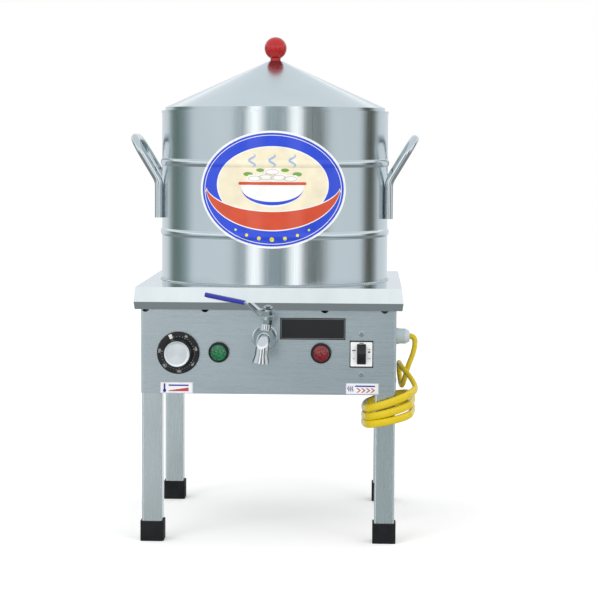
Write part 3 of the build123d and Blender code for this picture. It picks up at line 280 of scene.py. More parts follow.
def cloth_weave():
    """Undyed cotton: crossing threads, with slubs."""
    made = Shader("cloth", paint("F1EDE2"), 0.95, 0.0, Sheen_Weight=0.3)
    waves = []
    for turn in (0, pi / 2):
        wave = made.node("ShaderNodeTexWave", Scale=420.0, Distortion=1.2, Detail=1.0)
        coords = made.node("ShaderNodeTexCoord")
        mapping = made.node("ShaderNodeMapping")
        mapping.inputs["Rotation"].default_value = (0, 0, turn)
        made.link(coords.outputs["Object"], mapping.inputs["Vector"])
        made.link(mapping.outputs["Vector"], wave.inputs["Vector"])
        waves.append(wave.outputs["Fac"])
    both = made.node("ShaderNodeMath", operation="MULTIPLY")
    made.link(waves[0], both.inputs[0])
    made.link(waves[1], both.inputs[1])
    made.tint(made.noise(60.0, 4.0), 0.9, 1.05)
    made.bump(both.outputs["Value"], 0.5, 0.0003)
    return made.mat


def cast_brass():
    """Cast brass, uneven in tone and gloss."""
    made = Shader("brass", paint("B98F4A"), 0.34, 1.0)
    clouds = made.noise(60.0, 5.0)
    made.tint(clouds, 0.8, 1.1)
    made.link(made.span(clouds, 0.25, 0.5), made.bsdf.inputs["Roughness"])
    made.bump(made.noise(900.0, 3.0), 0.2, 0.00004)
    return made.mat


def heater_sheath():
    """Stainless sheath, tinted where it has been hot."""
    made = Shader("heater", paint("8E8A86"), 0.42, 1.0)
    heat = made.noise(14.0, 3.0)
    colors = ((0.3, paint("8F8D8C")), (0.5, paint("8A7A66")), (0.7, paint("5F6470")))
    made.link(made.ramp(heat, colors), made.bsdf.inputs["Base Color"])
    made.bump(made.noise(700.0, 3.0), 0.25, 0.00005)
    return made.mat


def finishes():
    """Every material slot's finish, by the slot's name."""
    return {
        "pot_steel": spun_steel(),
        "steel": brushed("steel", SHEET_COLOR, 0.29, ALONG_X, 2600.0, 0.000012, 0.05),
        "leg_steel": brushed("leg_steel", LEG_COLOR, 0.24, ALONG_Z, 2600.0, 0.000012, 0.05),
        "weld": polished("weld", paint("BCC3C5"), 0.22),
        "mirror_steel": polished("mirror_steel", paint("C6CED1"), 0.09),
        "zinc": polished("zinc", paint("C6CBC9"), 0.16),
        "chrome": polished("chrome", paint("CFD4D6"), 0.10),
        "brass": cast_brass(),
        "heater": heater_sheath(),
        "rubber": moulded("rubber", paint("06090C"), 0.75, 1500.0),
        "cloth": cloth_weave(),
        "red_plastic": moulded("red_plastic", paint("B30F12"), 0.2, 700.0, 0.15, 0.00001),
        "ceramic": moulded("ceramic", paint("D9D2C4"), 0.55, 900.0),
        "black_plastic": moulded("black_plastic", paint("101216"), 0.42, 1600.0),
        "grey_plastic": moulded("grey_plastic", paint("CBD6D9"), 0.45, 1600.0),
        "green_lens": lens("green_lens", paint("0B7A48")),
        "red_lens": lens("red_lens", paint("86081A")),
        "plate": moulded("plate", paint("0B0C0E"), 0.42, 1200.0),
        "label": moulded("label", paint("EEF0F0"), 0.5, 900.0),
        "badge": moulded("badge", paint("F2F3F1"), 0.35, 900.0, 0.25),
        "seat": moulded("seat", paint("F1F0EA"), 0.4, 1200.0),
        "blue_vinyl": vinyl("blue_vinyl", paint("27309E"), 0.34),
        "yellow_pvc": vinyl("yellow_pvc", paint("DFC406"), 0.26),
    }


# ------------------------ studio
# The walls round the object, as what its bright steel shows: tones of grey cloth, two tall white
# strip lights, and the darker ends of the room. Degrees are from the front, to the right.
PALE, WHITE = (0.84, 0.88, 0.92), (1.75, 1.68, 1.68)
FRONT, SHADE = (0.36, 0.43, 0.46), (0.19, 0.21, 0.21)
DARK_END, DIM = (0.10, 0.105, 0.085), (0.18, 0.24, 0.215)
MIDDLE, MIDDLE_RIGHT = (0.31, 0.38, 0.41), (0.28, 0.34, 0.36)
WALLS = (
    (-180, PALE), (-138, PALE), (-123, DIM), (-112, DIM), (-99, FRONT), (-88, PALE), (-42, PALE),
    (-33, FRONT), (-27, FRONT), (-22.5, WHITE), (-13.5, WHITE), (-7.5, FRONT), (0, MIDDLE),
    (13.5, MIDDLE_RIGHT), (20.5, WHITE), (28, WHITE), (32, SHADE), (48, SHADE), (62, PALE),
    (99, PALE), (109, DARK_END), (120, DARK_END), (133, PALE), (180, PALE),
)
# Above them a bright ceiling, which comes lower over the front, and below them the studio's
# darker floor, by the height of a ray
CEILING_FROM, CEILING_FULL, CEILING_SLOPE = 0.575, 0.615, 0.05
CEILING_LOW, CEILING_HIGH = (1.42, 1.42, 1.42), (0.90, 0.95, 0.99)
CEILING_LOW_AT, CEILING_HIGH_AT = 0.655, 0.70
GROUND_FULL, GROUND_FROM = 0.35, 0.42
GROUND = (0.32, 0.34, 0.35)
DIFFUSE_LEVEL = 0.93                            # the plain light on paint and plastic


def world():
    """A pale studio: white to the camera, plain to matt surfaces, and its walls to shiny ones."""
    made = bpy.data.worlds.new("studio")
    bpy.context.scene.world = made
    made.use_nodes = True
    tree = made.node_tree
    tree.nodes.clear()
    nodes, link = tree.nodes, tree.links.new

    def math(operation, *inputs):
        node = nodes.new("ShaderNodeMath")
        node.operation = operation
        for i, value in enumerate(inputs):
            if isinstance(value, (int, float)):
                node.inputs[i].default_value = value
            else:
                link(value, node.inputs[i])
        return node.outputs["Value"]

    def blend(share, first, second):
        node = nodes.new("ShaderNodeMix")
        node.data_type = "RGBA"
        for socket, value in ((node.inputs["Factor"], share), (node.inputs[6], first),
                              (node.inputs[7], second)):
            if hasattr(value, "is_output"):
                link(value, socket)
            else:
                socket.default_value = value
        return node.outputs[2]

    def ramp(source, stops):
        node = nodes.new("ShaderNodeValToRGB")
        points = node.color_ramp.elements
        while len(points) < len(stops):
            points.new(0.5)
        for point, (at, color) in zip(points, stops):
            point.position, point.color = at, (*color, 1)
        link(source, node.inputs["Fac"])
        return node.outputs["Color"]

    def grey(level):
        return (level,) * 3

    coords = nodes.new("ShaderNodeTexCoord")
    split = nodes.new("ShaderNodeSeparateXYZ")
    link(coords.outputs["Generated"], split.inputs["Vector"])
    x, y, z = (split.outputs[axis] for axis in "XYZ")
    azimuth = math("ARCTAN2", x, math("MULTIPLY", y, -1.0))
    share = math("ADD", math("DIVIDE", azimuth, 2 * pi), 0.5)
    walls = ramp(share, [((degree + 180) / 360, color) for degree, color in WALLS])
    height = math("ADD", math("MULTIPLY", z, 0.5), 0.5)
    leaning = math("SUBTRACT", height, math("MULTIPLY", y, CEILING_SLOPE))
    above = ramp(leaning, ((CEILING_FROM, grey(0)), (CEILING_FULL, grey(1))))
    ceiling = ramp(height, ((CEILING_LOW_AT, CEILING_LOW), (CEILING_HIGH_AT, CEILING_HIGH)))
    below = ramp(height, ((GROUND_FULL, grey(1)), (GROUND_FROM, grey(0))))
    seen = blend(above, walls, ceiling)
    seen = blend(below, seen, (*GROUND, 1))
    path = nodes.new("ShaderNodeLightPath")
    mirrored = path.outputs["Is Glossy Ray"]
    level = (DIFFUSE_LEVEL,) * 3 + (1,)
    color = blend(mirrored, level, seen)
    color = blend(path.outputs["Is Camera Ray"], color, (1, 1, 1, 1))
    background = nodes.new("ShaderNodeBackground")
    link(color, background.inputs["Color"])
    output = nodes.new("ShaderNodeOutputWorld")
    link(background.outputs["Background"], output.inputs["Surface"])


FLOOR_HALF = 6.0                                # m, half its width
FLOOR_GREY, FLOOR_LIFT = 0.82, 0.30             # its paint, and its glow to the camera


def floor():
    """A white sweep: it takes the object's shadow, and steel shows the studio through it."""
    mesh = bpy.data.meshes.new("floor")
    half = FLOOR_HALF
    places = [(-half, -half, 0), (half, -half, 0), (half, half, 0), (-half, half, 0)]
    mesh.from_pydata(places, [], [(0, 1, 2, 3)])
    made = bpy.data.objects.new("floor", mesh)
    bpy.context.collection.objects.link(made)
    mat = bpy.data.materials.new("floor")
    mat.use_nodes = True
    tree = mat.node_tree
    tree.nodes.clear()
    link = tree.links.new
    matt = tree.nodes.new("ShaderNodeBsdfDiffuse")
    matt.inputs["Color"].default_value = (FLOOR_GREY,) * 3 + (1,)
    glow = tree.nodes.new("ShaderNodeEmission")
    path = tree.nodes.new("ShaderNodeLightPath")
    lift = tree.nodes.new("ShaderNodeMath")
    lift.operation = "MULTIPLY"
    lift.inputs[1].default_value = FLOOR_LIFT
    link(path.outputs["Is Camera Ray"], lift.inputs[0])
    link(lift.outputs["Value"], glow.inputs["Strength"])
    both = tree.nodes.new("ShaderNodeAddShader")
    link(matt.outputs["BSDF"], both.inputs[0])
    link(glow.outputs["Emission"], both.inputs[1])
    output = tree.nodes.new("ShaderNodeOutputMaterial")
    clear = tree.nodes.new("ShaderNodeBsdfTransparent")
    pick = tree.nodes.new("ShaderNodeMixShader")
    link(path.outputs["Is Glossy Ray"], pick.inputs["Fac"])
    link(both.outputs["Shader"], pick.inputs[1])
    link(clear.outputs["BSDF"], pick.inputs[2])
    link(pick.outputs["Shader"], output.inputs["Surface"])
    mesh.materials.append(mat)


# Lights: name, place, target and size (m), and power (W)
LIGHTS = (("key", (-1.6, -2.4, 2.6), (0, 0, 0.45), (1.6, 1.6), 26),
          ("fill", (2.2, -2.2, 1.6), (0, 0, 0.4), (1.4, 1.8), 12))


def softbox(name, place, target, size, watts):
    """A flat light at a place, turned to a target."""
    data = bpy.data.lights.new(name, "AREA")
    data.shape = "RECTANGLE"
    data.size, data.size_y = size
    data.energy = watts
    made = bpy.data.objects.new(name, data)
    made.location = place
    made.rotation_euler = (Vector(target) - Vector(place)).to_track_quat("-Z", "Y").to_euler()
    made.visible_glossy = False                 # steel shows the walls only
    bpy.context.collection.objects.link(made)


# ------------------------ modelling helpers
FINISH = {}                                     # every slot's finish, filled by main()


def own(name, mesh, body="root", slot=None, finish=None):
    """A new piece: linked, finished and riding on its body."""
    made = bpy.data.objects.new(name, mesh)
    bpy.context.collection.objects.link(made)
    mesh.materials.append(finish or FINISH[slot])
    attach(made, body)
    return made


def mesh_of(name, build, smooth=True):
    """A mesh made by a bmesh function."""
    work = bmesh.new()
    build(work)
    mesh = bpy.data.meshes.new(name)
    bmesh.ops.recalc_face_normals(work, faces=work.faces)
    work.to_mesh(mesh)
    work.free()
    for face in mesh.polygons:
        face.use_smooth = smooth
    return mesh


def crease(made, angle=35):
    """Keep the edges sharper than an angle, in degrees, on a piece that is shaded smooth."""
    made.data.set_sharp_from_angle(angle=radians(angle))


def slab(work, outline, thick, place=Matrix.Identity(4), holes=()):
    """A flat plate from outlines in X and Z, its face towards -Y of its place at y 0."""
    loops = [outline, *holes]
    edges = []
    for loop in loops:
        corners = [work.verts.new(place @ Vector((x, 0, z))) for x, z in loop]
        edges += [work.edges.new((corners[i - 1], corners[i])) for i in range(len(corners))]
    made = bmesh.ops.triangle_fill(work, edges=edges, use_beauty=True)
    faces = [f for f in made["geom"] if isinstance(f, bmesh.types.BMFace)]
    grown = bmesh.ops.extrude_face_region(work, geom=faces)
    moved = [v for v in grown["geom"] if isinstance(v, bmesh.types.BMVert)]
    shift = place.to_3x3() @ Vector((0, thick, 0))
    bmesh.ops.translate(work, verts=moved, vec=shift)


def oval(cx, cz, half_w, half_h, count=96, start=0.0, end=2 * pi):
    """Points round an ellipse, or along a stretch of it."""
    whole = abs(end - start) >= 2 * pi - 1e-9
    steps = count if whole else count + 1
    return [(cx + half_w * cos(start + (end - start) * i / count),
             cz + half_h * sin(start + (end - start) * i / count)) for i in range(steps)]


def rounded(cx, cz, w, h, r, count=6):
    """Points round a rectangle with round corners."""
    points = []
    for k, (sx, sz) in enumerate(((1, 1), (-1, 1), (-1, -1), (1, -1))):
        x, z = cx + sx * (w / 2 - r), cz + sz * (h / 2 - r)
        points += [(x + r * cos(pi / 2 * (k + i / count)), z + r * sin(pi / 2 * (k + i / count)))
                   for i in range(count + 1)]
    return points


def lathe(work, outline, sides, place=Matrix.Identity(4)):
    """A turned form from (radius, height) points; a radius of 0 closes it."""
    rings = []
    for r, z in outline:
        if r <= 1e-9:
            rings.append([work.verts.new(place @ Vector((0, 0, z)))])
            continue
        turns = [2 * pi * i / sides for i in range(sides)]
        rings.append([work.verts.new(place @ Vector((r * cos(t), r * sin(t), z))) for t in turns])
    for low, high in zip(rings, rings[1:]):
        for i in range(sides):
            j = (i + 1) % sides
            below = (low[i % len(low)], low[j % len(low)])
            above = (high[j % len(high)], high[i % len(high)])
            around = list(dict.fromkeys(below + above))
            if len(around) > 2:
                work.faces.new(around)


def facing(x, y, z, turn=0.0):
    """A place in the row frame whose local z axis comes out of the front panel."""
    upright = Matrix.Rotation(pi / 2, 4, "X") @ Matrix.Rotation(turn, 4, "Z")
    return Matrix.Translation((x, y, z)) @ upright


# ------------------------ the lead
# Its route, in mm about the pot's axis: the hanging stretch listed, the turns by their rule,
# and the tail listed
CORD_WIDTH = 9.0
MOUTH = (211.5, -100.0, 303.5)
DROP = ((221, -100, 303.5), (218.5, -102, 280), (210, -106, 260), (204.5, -105, 239),
        (201.5, -88, 226.5), (199, -62, 228), (197, -52, 243), (196, -66, 258),
        (197, -92, 259.5), (200, -114, 257), (209, -130, 249), (217.5, -146, 238))
TAIL = ((168, -40, 161), (172.5, -31, 144), (174, -29, 122), (174, -29, 104))
LEAD_IN = 14.0                                  # straight run into and out of the turns
TURN_X, TURN_Y, TURN_Z = 179.5, -132, 214       # the turns' middle, and the first one's height
TURN_HALF_W, TURN_HALF_L, TURN_END_R = 38.5, 72, 34
TURN_DROP, TURN_CATCH = 15.5, 0.9               # fall a turn, and how it slackens
TURN_TILT, TURN_UNTILT = 0.30, 0.05
TURNS, TURN_LAST = 2, 0.5                       # whole turns, and radians more
OUTLINE_STEPS = 400                             # for measuring a turn's length
POINTS_A_TURN = 24
ROUTE_FINE = 6                                  # points drawn between those of the route
POINTS_APART = 0.4                              # mm, at least
# Its section: a flat oval, round where the gland grips it, of SECTION points
FLAT_WIDE, FLAT_THICK, MOUTH_ROUND = 11.4, 7.8, 8.8
FLAT_SQUARE = 0.22                              # how square the oval is
SECTION = 20
ROUND_RUN, FLATTEN_RUN = 4, 14                  # mm that are round, and mm of change after them
# Its wide side lies along Y until it is this low and this far along, then upright, and along X
# below the tail's height
TURNS_BELOW, TURNS_AFTER, TAIL_BELOW = TURN_Z + 30, 250, 172
WISH_LEAST = 0.25                               # of a side's wish; below it the last one holds
TWIST_PASSES = 60                               # of smoothing


def turn_points():
    """Points down the turns, in mm about the pot's axis."""
    end_y = TURN_HALF_L - TURN_END_R
    side_r = (end_y ** 2 + TURN_HALF_W ** 2 - TURN_END_R ** 2) / (2 * (TURN_HALF_W - TURN_END_R))
    split = atan2(end_y, side_r - TURN_HALF_W)

    def at(phi):
        ends = abs(sin(phi)) > sin(split)
        side = 1 if cos(phi) > 0 else -1
        cx = 0 if ends else side * (TURN_HALF_W - side_r)
        cy = (1 if sin(phi) > 0 else -1) * end_y if ends else 0
        r = TURN_END_R if ends else side_r
        return cx + r * cos(phi), cy + r * sin(phi)

    first, last = -split, -pi - 2 * pi * TURNS - TURN_LAST
    count = round((first - last) / (2 * pi) * POINTS_A_TURN)
    flat = [at(first + (last - first) * i / count) for i in range(count + 1)]
    runs = [0.0]
    for a, b in zip(flat, flat[1:]):
        runs.append(runs[-1] + hypot(b[0] - a[0], b[1] - a[1]))
    whole = [at(-2 * pi * i / OUTLINE_STEPS) for i in range(OUTLINE_STEPS + 1)]
    turn_run = sum(hypot(b[0] - a[0], b[1] - a[1]) for a, b in zip(whole, whole[1:]))
    front = (first + pi / 2) / (first - last) * count
    low = int(front)
    front_run = runs[low] + (runs[low + 1] - runs[low]) * (front - low)
    points = []
    for (x, y), run in zip(flat, runs):
        turns = (run - front_run) / turn_run
        tilt = (TURN_TILT - TURN_UNTILT * turns) * x
        z = TURN_Z - TURN_DROP * turns + TURN_CATCH * turns ** 2 + tilt
        points.append(Vector((TURN_X + x, TURN_Y + y, z)))
    return points


def lead_path():
    """The lead's middle line as points in mm about the pot's axis."""
    turns = turn_points()
    into = (turns[1] - turns[0]).normalized()
    out = (turns[-1] - turns[-2]).normalized()
    route = [Vector(MOUTH), *map(Vector, DROP), turns[0] - into * (LEAD_IN + CORD_WIDTH),
             *turns, turns[-1] + out * (LEAD_IN + CORD_WIDTH), *map(Vector, TAIL)]
    curve = bpy.data.curves.new("lead_route", "CURVE")
    curve.dimensions = "3D"
    line = curve.splines.new("NURBS")
    line.points.add(len(route) - 1)
    for point, place in zip(line.points, route):
        point.co = (*place, 1)
    line.order_u = 3
    line.use_endpoint_u = True
    line.resolution_u = ROUTE_FINE
    holder = bpy.data.objects.new("lead_route", curve)
    mesh = bpy.data.meshes.new_from_object(holder)
    points = [vertex.co.copy() for vertex in mesh.vertices]
    bpy.data.objects.remove(holder)
    bpy.data.curves.remove(curve)
    bpy.data.meshes.remove(mesh)
    if (points[0] - route[0]).length > (points[-1] - route[0]).length:
        points.reverse()
    kept = [points[0]]
    for point in points[1:]:
        if (point - kept[-1]).length > POINTS_APART:
            kept.append(point)
    return kept


def lead():
    """The yellow lead, from the gland's mouth through its loops and turns to the plug."""
    points = lead_path()
    last = len(points) - 1
    runs = [0.0]
    for a, b in zip(points, points[1:]):
        runs.append(runs[-1] + (b - a).length)
    along = [(points[min(i + 1, last)] - points[max(i - 1, 0)]).normalized()
             for i in range(last + 1)]
    turns_from = next(i for i, p in enumerate(points)
                      if p.z < TURNS_BELOW and runs[i] > TURNS_AFTER)
    tail_from = next(i for i in range(last, 0, -1) if points[i].z > TAIL_BELOW)
    wide = []
    for i, way in enumerate(along):
        if i < turns_from:
            wish = Vector((0, 1, 0))
        else:
            wish = Vector((0, 0, 1)) if i < tail_from else Vector((1, 0, 0))
        side = wish - way * way.dot(wish)
        if side.length < WISH_LEAST:
            side = wide[-1] - way * way.dot(wide[-1])
        side.normalize()
        wide.append(-side if wide and side.dot(wide[-1]) < 0 else side)
    for _ in range(TWIST_PASSES):
        between = [wide[i - 1] + wide[i] * 2 + wide[i + 1] for i in range(1, last)]
        wide = [wide[0], *between, wide[-1]]
        wide = [(side - way * way.dot(side)).normalized() for side, way in zip(wide, along)]

    def build(work):
        rings = []
        for i, (point, side, way) in enumerate(zip(points, wide, along)):
            flat = min(max((runs[i] - ROUND_RUN) / FLATTEN_RUN, 0), 1)
            flat = flat * flat * (3 - 2 * flat)
            half_w = (MOUTH_ROUND + (FLAT_WIDE - MOUTH_ROUND) * flat) / 2
            half_t = (MOUTH_ROUND + (FLAT_THICK - MOUTH_ROUND) * flat) / 2
            across = way.cross(side).normalized()
            power = 1 - FLAT_SQUARE * flat
            ring = []
            for k in range(SECTION):
                turn = 2 * pi * k / SECTION
                reach = abs(cos(turn)) ** power * (1 if cos(turn) > 0 else -1)
                rise = abs(sin(turn)) ** power * (1 if sin(turn) > 0 else -1)
                place = point + side * half_w * reach + across * half_t * rise
                ring.append(work.verts.new(m(*place)))
            rings.append(ring)
        for a, b in zip(rings, rings[1:]):
            for k in range(SECTION):
                work.faces.new((a[k - 1], a[k], b[k], b[k - 1]))
        work.faces.new(rings[0])
        work.faces.new(rings[-1])

    made = own("lead", mesh_of("lead", build), "root", "yellow_pvc")
    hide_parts("cord_drop", "cord_coil", "cord_tail")


# ------------------------ the badge's print
BADGE_X, BADGE_Z = 4.0, 527.5
BADGE_HALF_W, BADGE_HALF_H = 109.0, 87.5
BADGE_FACE = POT_R + 0.45                       # radius of the film's face
BEADS, BEAD_HALF, BEAD_PROUD = (458.0, 566.0), 5.75, 2.3
PRINT, PRINT_LIFT = 0.05, 0.08                  # thickness of a layer; gap under the first
CUT_STEP = 3.0                                  # mm, about how wide the print's flat facets are
BEAD_CUTS = 4                                   # each side of a bead's middle


def wall_bulge(z):
    """How far the pot's wall stands out at a height, at its rolled beads."""
    arc = (BEAD_HALF ** 2 + BEAD_PROUD ** 2) / (2 * BEAD_PROUD)
    near = min(abs(z - bead) for bead in BEADS)
    return sqrt(arc ** 2 - near ** 2) - (arc - BEAD_PROUD) if near < BEAD_HALF else 0.0


def on_pot(name, outlines, layer, color):
    """Print wrapped on the pot: flat outlines in X and Z, laid over wall and beads."""
    def build(work):
        for loops in outlines:
            slab(work, loops[0], PRINT, holes=loops[1:])
        xs = [v.co.x for v in work.verts]
        zs = [v.co.z for v in work.verts]
        cuts = [(x, "x") for x in steps(min(xs), max(xs), CUT_STEP)]
        for bead in BEADS:
            across = [bead + BEAD_HALF * k / BEAD_CUTS for k in range(-BEAD_CUTS, BEAD_CUTS + 1)]
            cuts += [(z, "z") for z in across if min(zs) < z < max(zs)]
        for at, axis in cuts:
            place = (at, 0, 0) if axis == "x" else (0, 0, at)
            normal = (1, 0, 0) if axis == "x" else (0, 0, 1)
            bmesh.ops.bisect_plane(work, geom=work.verts[:] + work.edges[:] + work.faces[:],
                                   plane_co=place, plane_no=normal, dist=1e-5)
        for vert in work.verts:
            x, deep, z = vert.co
            r = BADGE_FACE + PRINT_LIFT + wall_bulge(z) + (layer + 1) * PRINT - deep
            vert.co = m(x, -sqrt(r * r - x * x), z)
    finish = moulded(name, color, 0.35, 1800.0, 0.3, 0.00001)
    own(name, mesh_of(name, build, smooth=False), "root", "badge", finish)


def steps(low, high, step):
    """Places between two ends, about a step apart."""
    count = max(1, int((high - low) / step))
    return [low + (high - low) * i / count for i in range(1, count)]


def band(points, width):
    """The outline of a stroke along points, tapering to both ends."""
    left, right = [], []
    for i, (x, z) in enumerate(points):
        before, after = points[max(i - 1, 0)], points[min(i + 1, len(points) - 1)]
        dx, dz = after[0] - before[0], after[1] - before[1]
        size = hypot(dx, dz)
        half = width / 2 * max(0.12, sin(pi * i / (len(points) - 1)) ** 0.6)
        left.append((x - dz / size * half, z + dx / size * half))
        right.append((x + dz / size * half, z - dx / size * half))
    return left + right[::-1]


def badge_print():
    """A plain bowl of rice rolls, steaming, on a blue oval: nobody's mark."""
    cx, cz = BADGE_X, BADGE_Z
    blue, cream, orange = paint("1C44D2"), paint("F0E6CA"), paint("D24A26")
    white, yellow, leaf = paint("F4F5F3"), paint("F1E43A"), paint("6FA53C")
    ground_w, ground_h = BADGE_HALF_W - 3.2, BADGE_HALF_H - 3.2
    on_pot("badge_ground", [[oval(cx, cz, ground_w, ground_h)]], 0, blue)
    line_w, line_h = ground_w - 3, ground_h - 3
    on_pot("badge_line", [[oval(cx, cz, line_w, line_h), oval(cx, cz, line_w - 0.9, line_h - 0.9)]],
           1, white)
    field_w, field_h, field_z = 82.0, 56.0, cz + 7
    on_pot("badge_rim", [[oval(cx, field_z, field_w + 1.6, field_h + 1.6)]], 1, white)
    on_pot("badge_field", [[oval(cx, field_z, field_w, field_h)]], 2, cream)
    # a cloth-like swoosh under the bowl
    tips, low = radians(8), radians(172)
    outer = oval(cx, cz + 6, 101, 66, 60, pi + tips, pi + low)
    inner = oval(cx, cz + 6, 101, 39, 60, pi + low, pi + tips)
    on_pot("badge_swoosh_edge", [[band_between(outer, inner, 1.6)]], 3, white)
    on_pot("badge_swoosh", [[outer + inner]], 4, orange)
    # the bowl, its band and its lip
    top, bowl_w, bowl_h = cz + 8, 47.0, 34.0
    bowl = oval(cx, top, bowl_w, bowl_h, 48, pi, 2 * pi)
    on_pot("badge_bowl", [[bowl]], 5, white)
    on_pot("badge_bowl_band", [[oval(cx, top - 6, bowl_w - 1.2, bowl_h - 9, 48, pi, 2 * pi)
                               + oval(cx, top - 6, bowl_w - 1.2, bowl_h - 14, 48, 2 * pi, pi)]],
           6, blue)
    lip = [[rounded(cx, top + 1.2, 2 * bowl_w + 7, 4.4, 2.0)]]
    on_pot("badge_bowl_lip", lip, 6, orange)
    # rolls and herbs heaped in it
    rolls = [(-26, 8.6, 12), (-9, 10.6, 13), (9, 10.0, 13), (27, 8.2, 12), (0, 18.5, 12)]
    on_pot("badge_rolls", [[rounded(cx + x, top + z, 2 * r, 11, 5.2)] for x, z, r in rolls],
           4, white)
    rings = [[oval(cx + x, top + z, r - 1.6, 4.0), oval(cx + x, top + z, r - 2.6, 3.1)]
             for x, z, r in rolls]
    on_pot("badge_roll_lines", rings, 5, paint("C9BE9E"))
    herbs = [(-36, 15, 7, 3.2), (37, 15, 7, 3.2), (-18, 21, 6, 2.6), (19, 21, 6, 2.6)]
    on_pot("badge_herbs", [[oval(cx + x, top + z, w, h)] for x, z, w, h in herbs], 3, leaf)
    # steam
    curls = []
    for x in (-30, 0, 30):
        points = [(cx + x + 4.5 * sin(2 * pi * i / 14), top + 25 + 20 * i / 20) for i in range(21)]
        curls.append([band(points, 3.4)])
    on_pot("badge_steam", curls, 3, paint("9DB6D8"))
    # a row of dots round the foot of the oval
    dots = [(degree, 3.4 - abs(degree) / 22) for degree in range(-36, 37, 12)]
    rounds = [[oval(cx + 93 * sin(radians(degree)), cz - 74 * cos(radians(degree)), r, r, 24)]
              for degree, r in dots]
    on_pot("badge_dots", rounds, 2, yellow)


def band_between(outer, inner, grow):
    """A crescent's outline, grown a little all round."""
    lift = [(x, z - grow) for x, z in outer]
    fall = [(x, z + grow) for x, z in inner]
    (first_x, first_z), (last_x, last_z) = outer[0], outer[-1]
    return [(first_x - grow, first_z), *lift, (last_x + grow, last_z), *fall]


# ------------------------ front panel
DIAL_FACE = 6.1                                 # skirt's face, in front of the panel
CAP_FACE = 23.6                                 # cap's face, in front of the panel
# Lift from the panel and thickness of each print on it, in mm
DIAL_TICKS, BREAKER_LABEL, BREAKER_MARKS = (DIAL_FACE + 0.06, 0.06), (0.75, 0.15), (0.81, 0.06)
NAMEPLATE_PRINT, LABEL_PRINT = (0.86, 0.06), (0.36, 0.05)
DIAL_WORDS_LIFT, BREAKER_WORDS_LIFT, WORDS_THICK = DIAL_FACE + 0.04, 0.80, 0.04


def panel_plate(name, outlines, x, z, layer, slot, body="root", finish=None):
    """A thin plate or print on the front panel, from outlines in mm about a place."""
    lift, thick = layer
    place = Matrix.Translation((x, PANEL_Y / MM - lift, z))

    def build(work):
        for loops in outlines:
            slab(work, loops[0], thick, place, loops[1:])
        bmesh.ops.scale(work, vec=(MM,) * 3, verts=work.verts)
    return own(name, mesh_of(name, build, smooth=False), body, slot, finish)


def words(name, items, lift, slot, body="root", finish=None):
    """Plain text: (text, x, z, height, turn) each, as thin raised print facing the front."""
    parts = []
    for text, x, z, height, turn in items:
        curve = bpy.data.curves.new(name, "FONT")
        curve.body, curve.size = text, height * MM
        curve.align_x, curve.align_y = "CENTER", "CENTER"
        curve.extrude = WORDS_THICK * MM
        maker = bpy.data.objects.new(name, curve)
        mesh = bpy.data.meshes.new_from_object(maker)
        bpy.data.objects.remove(maker)
        mesh.transform(facing(x * MM, PANEL_Y - lift * MM, z * MM, turn))
        parts.append(mesh)

    def build(work):
        for mesh in parts:
            work.from_mesh(mesh)
    return own(name, mesh_of(name, build, smooth=False), body, slot, finish)


DIAL_ZERO, DIAL_SWEEP = 24.0, 300.0             # degrees: mark left of the top, and full travel
DIAL_FIGURES = ("50", "100", "150", "200", "250", "300")
TICKS_A_FIGURE = 5
# Radii of dots, figures and the bars by them; half a bar's width as a share of its length
DOT_AT, DOT_R, FIGURE_AT, FIGURE_HEIGHT = 24.6, 0.42, 27.4, 4.3
BAR_FROM, BAR_TO, BAR_HALF = 23.3, 24.9, 0.2
MARK = ((23.4, -5.5), (30.0, -5.0), (30.0, 5.0), (23.4, 5.5))          # radius and degrees
# The cap's shallow dish, by radius and height over its face, in mm
CAP_DISH = ((0, 0.05), (4, 0.05), (8, 0.05), (12, 0.05), (15, 0.05), (17.0, 0.06), (17.5, 0.22),
            (18.0, 0.42), (18.5, 0.42), (18.85, 0.15), (18.85, 0.01), (0, 0.01))
CAP_SIDES = 96


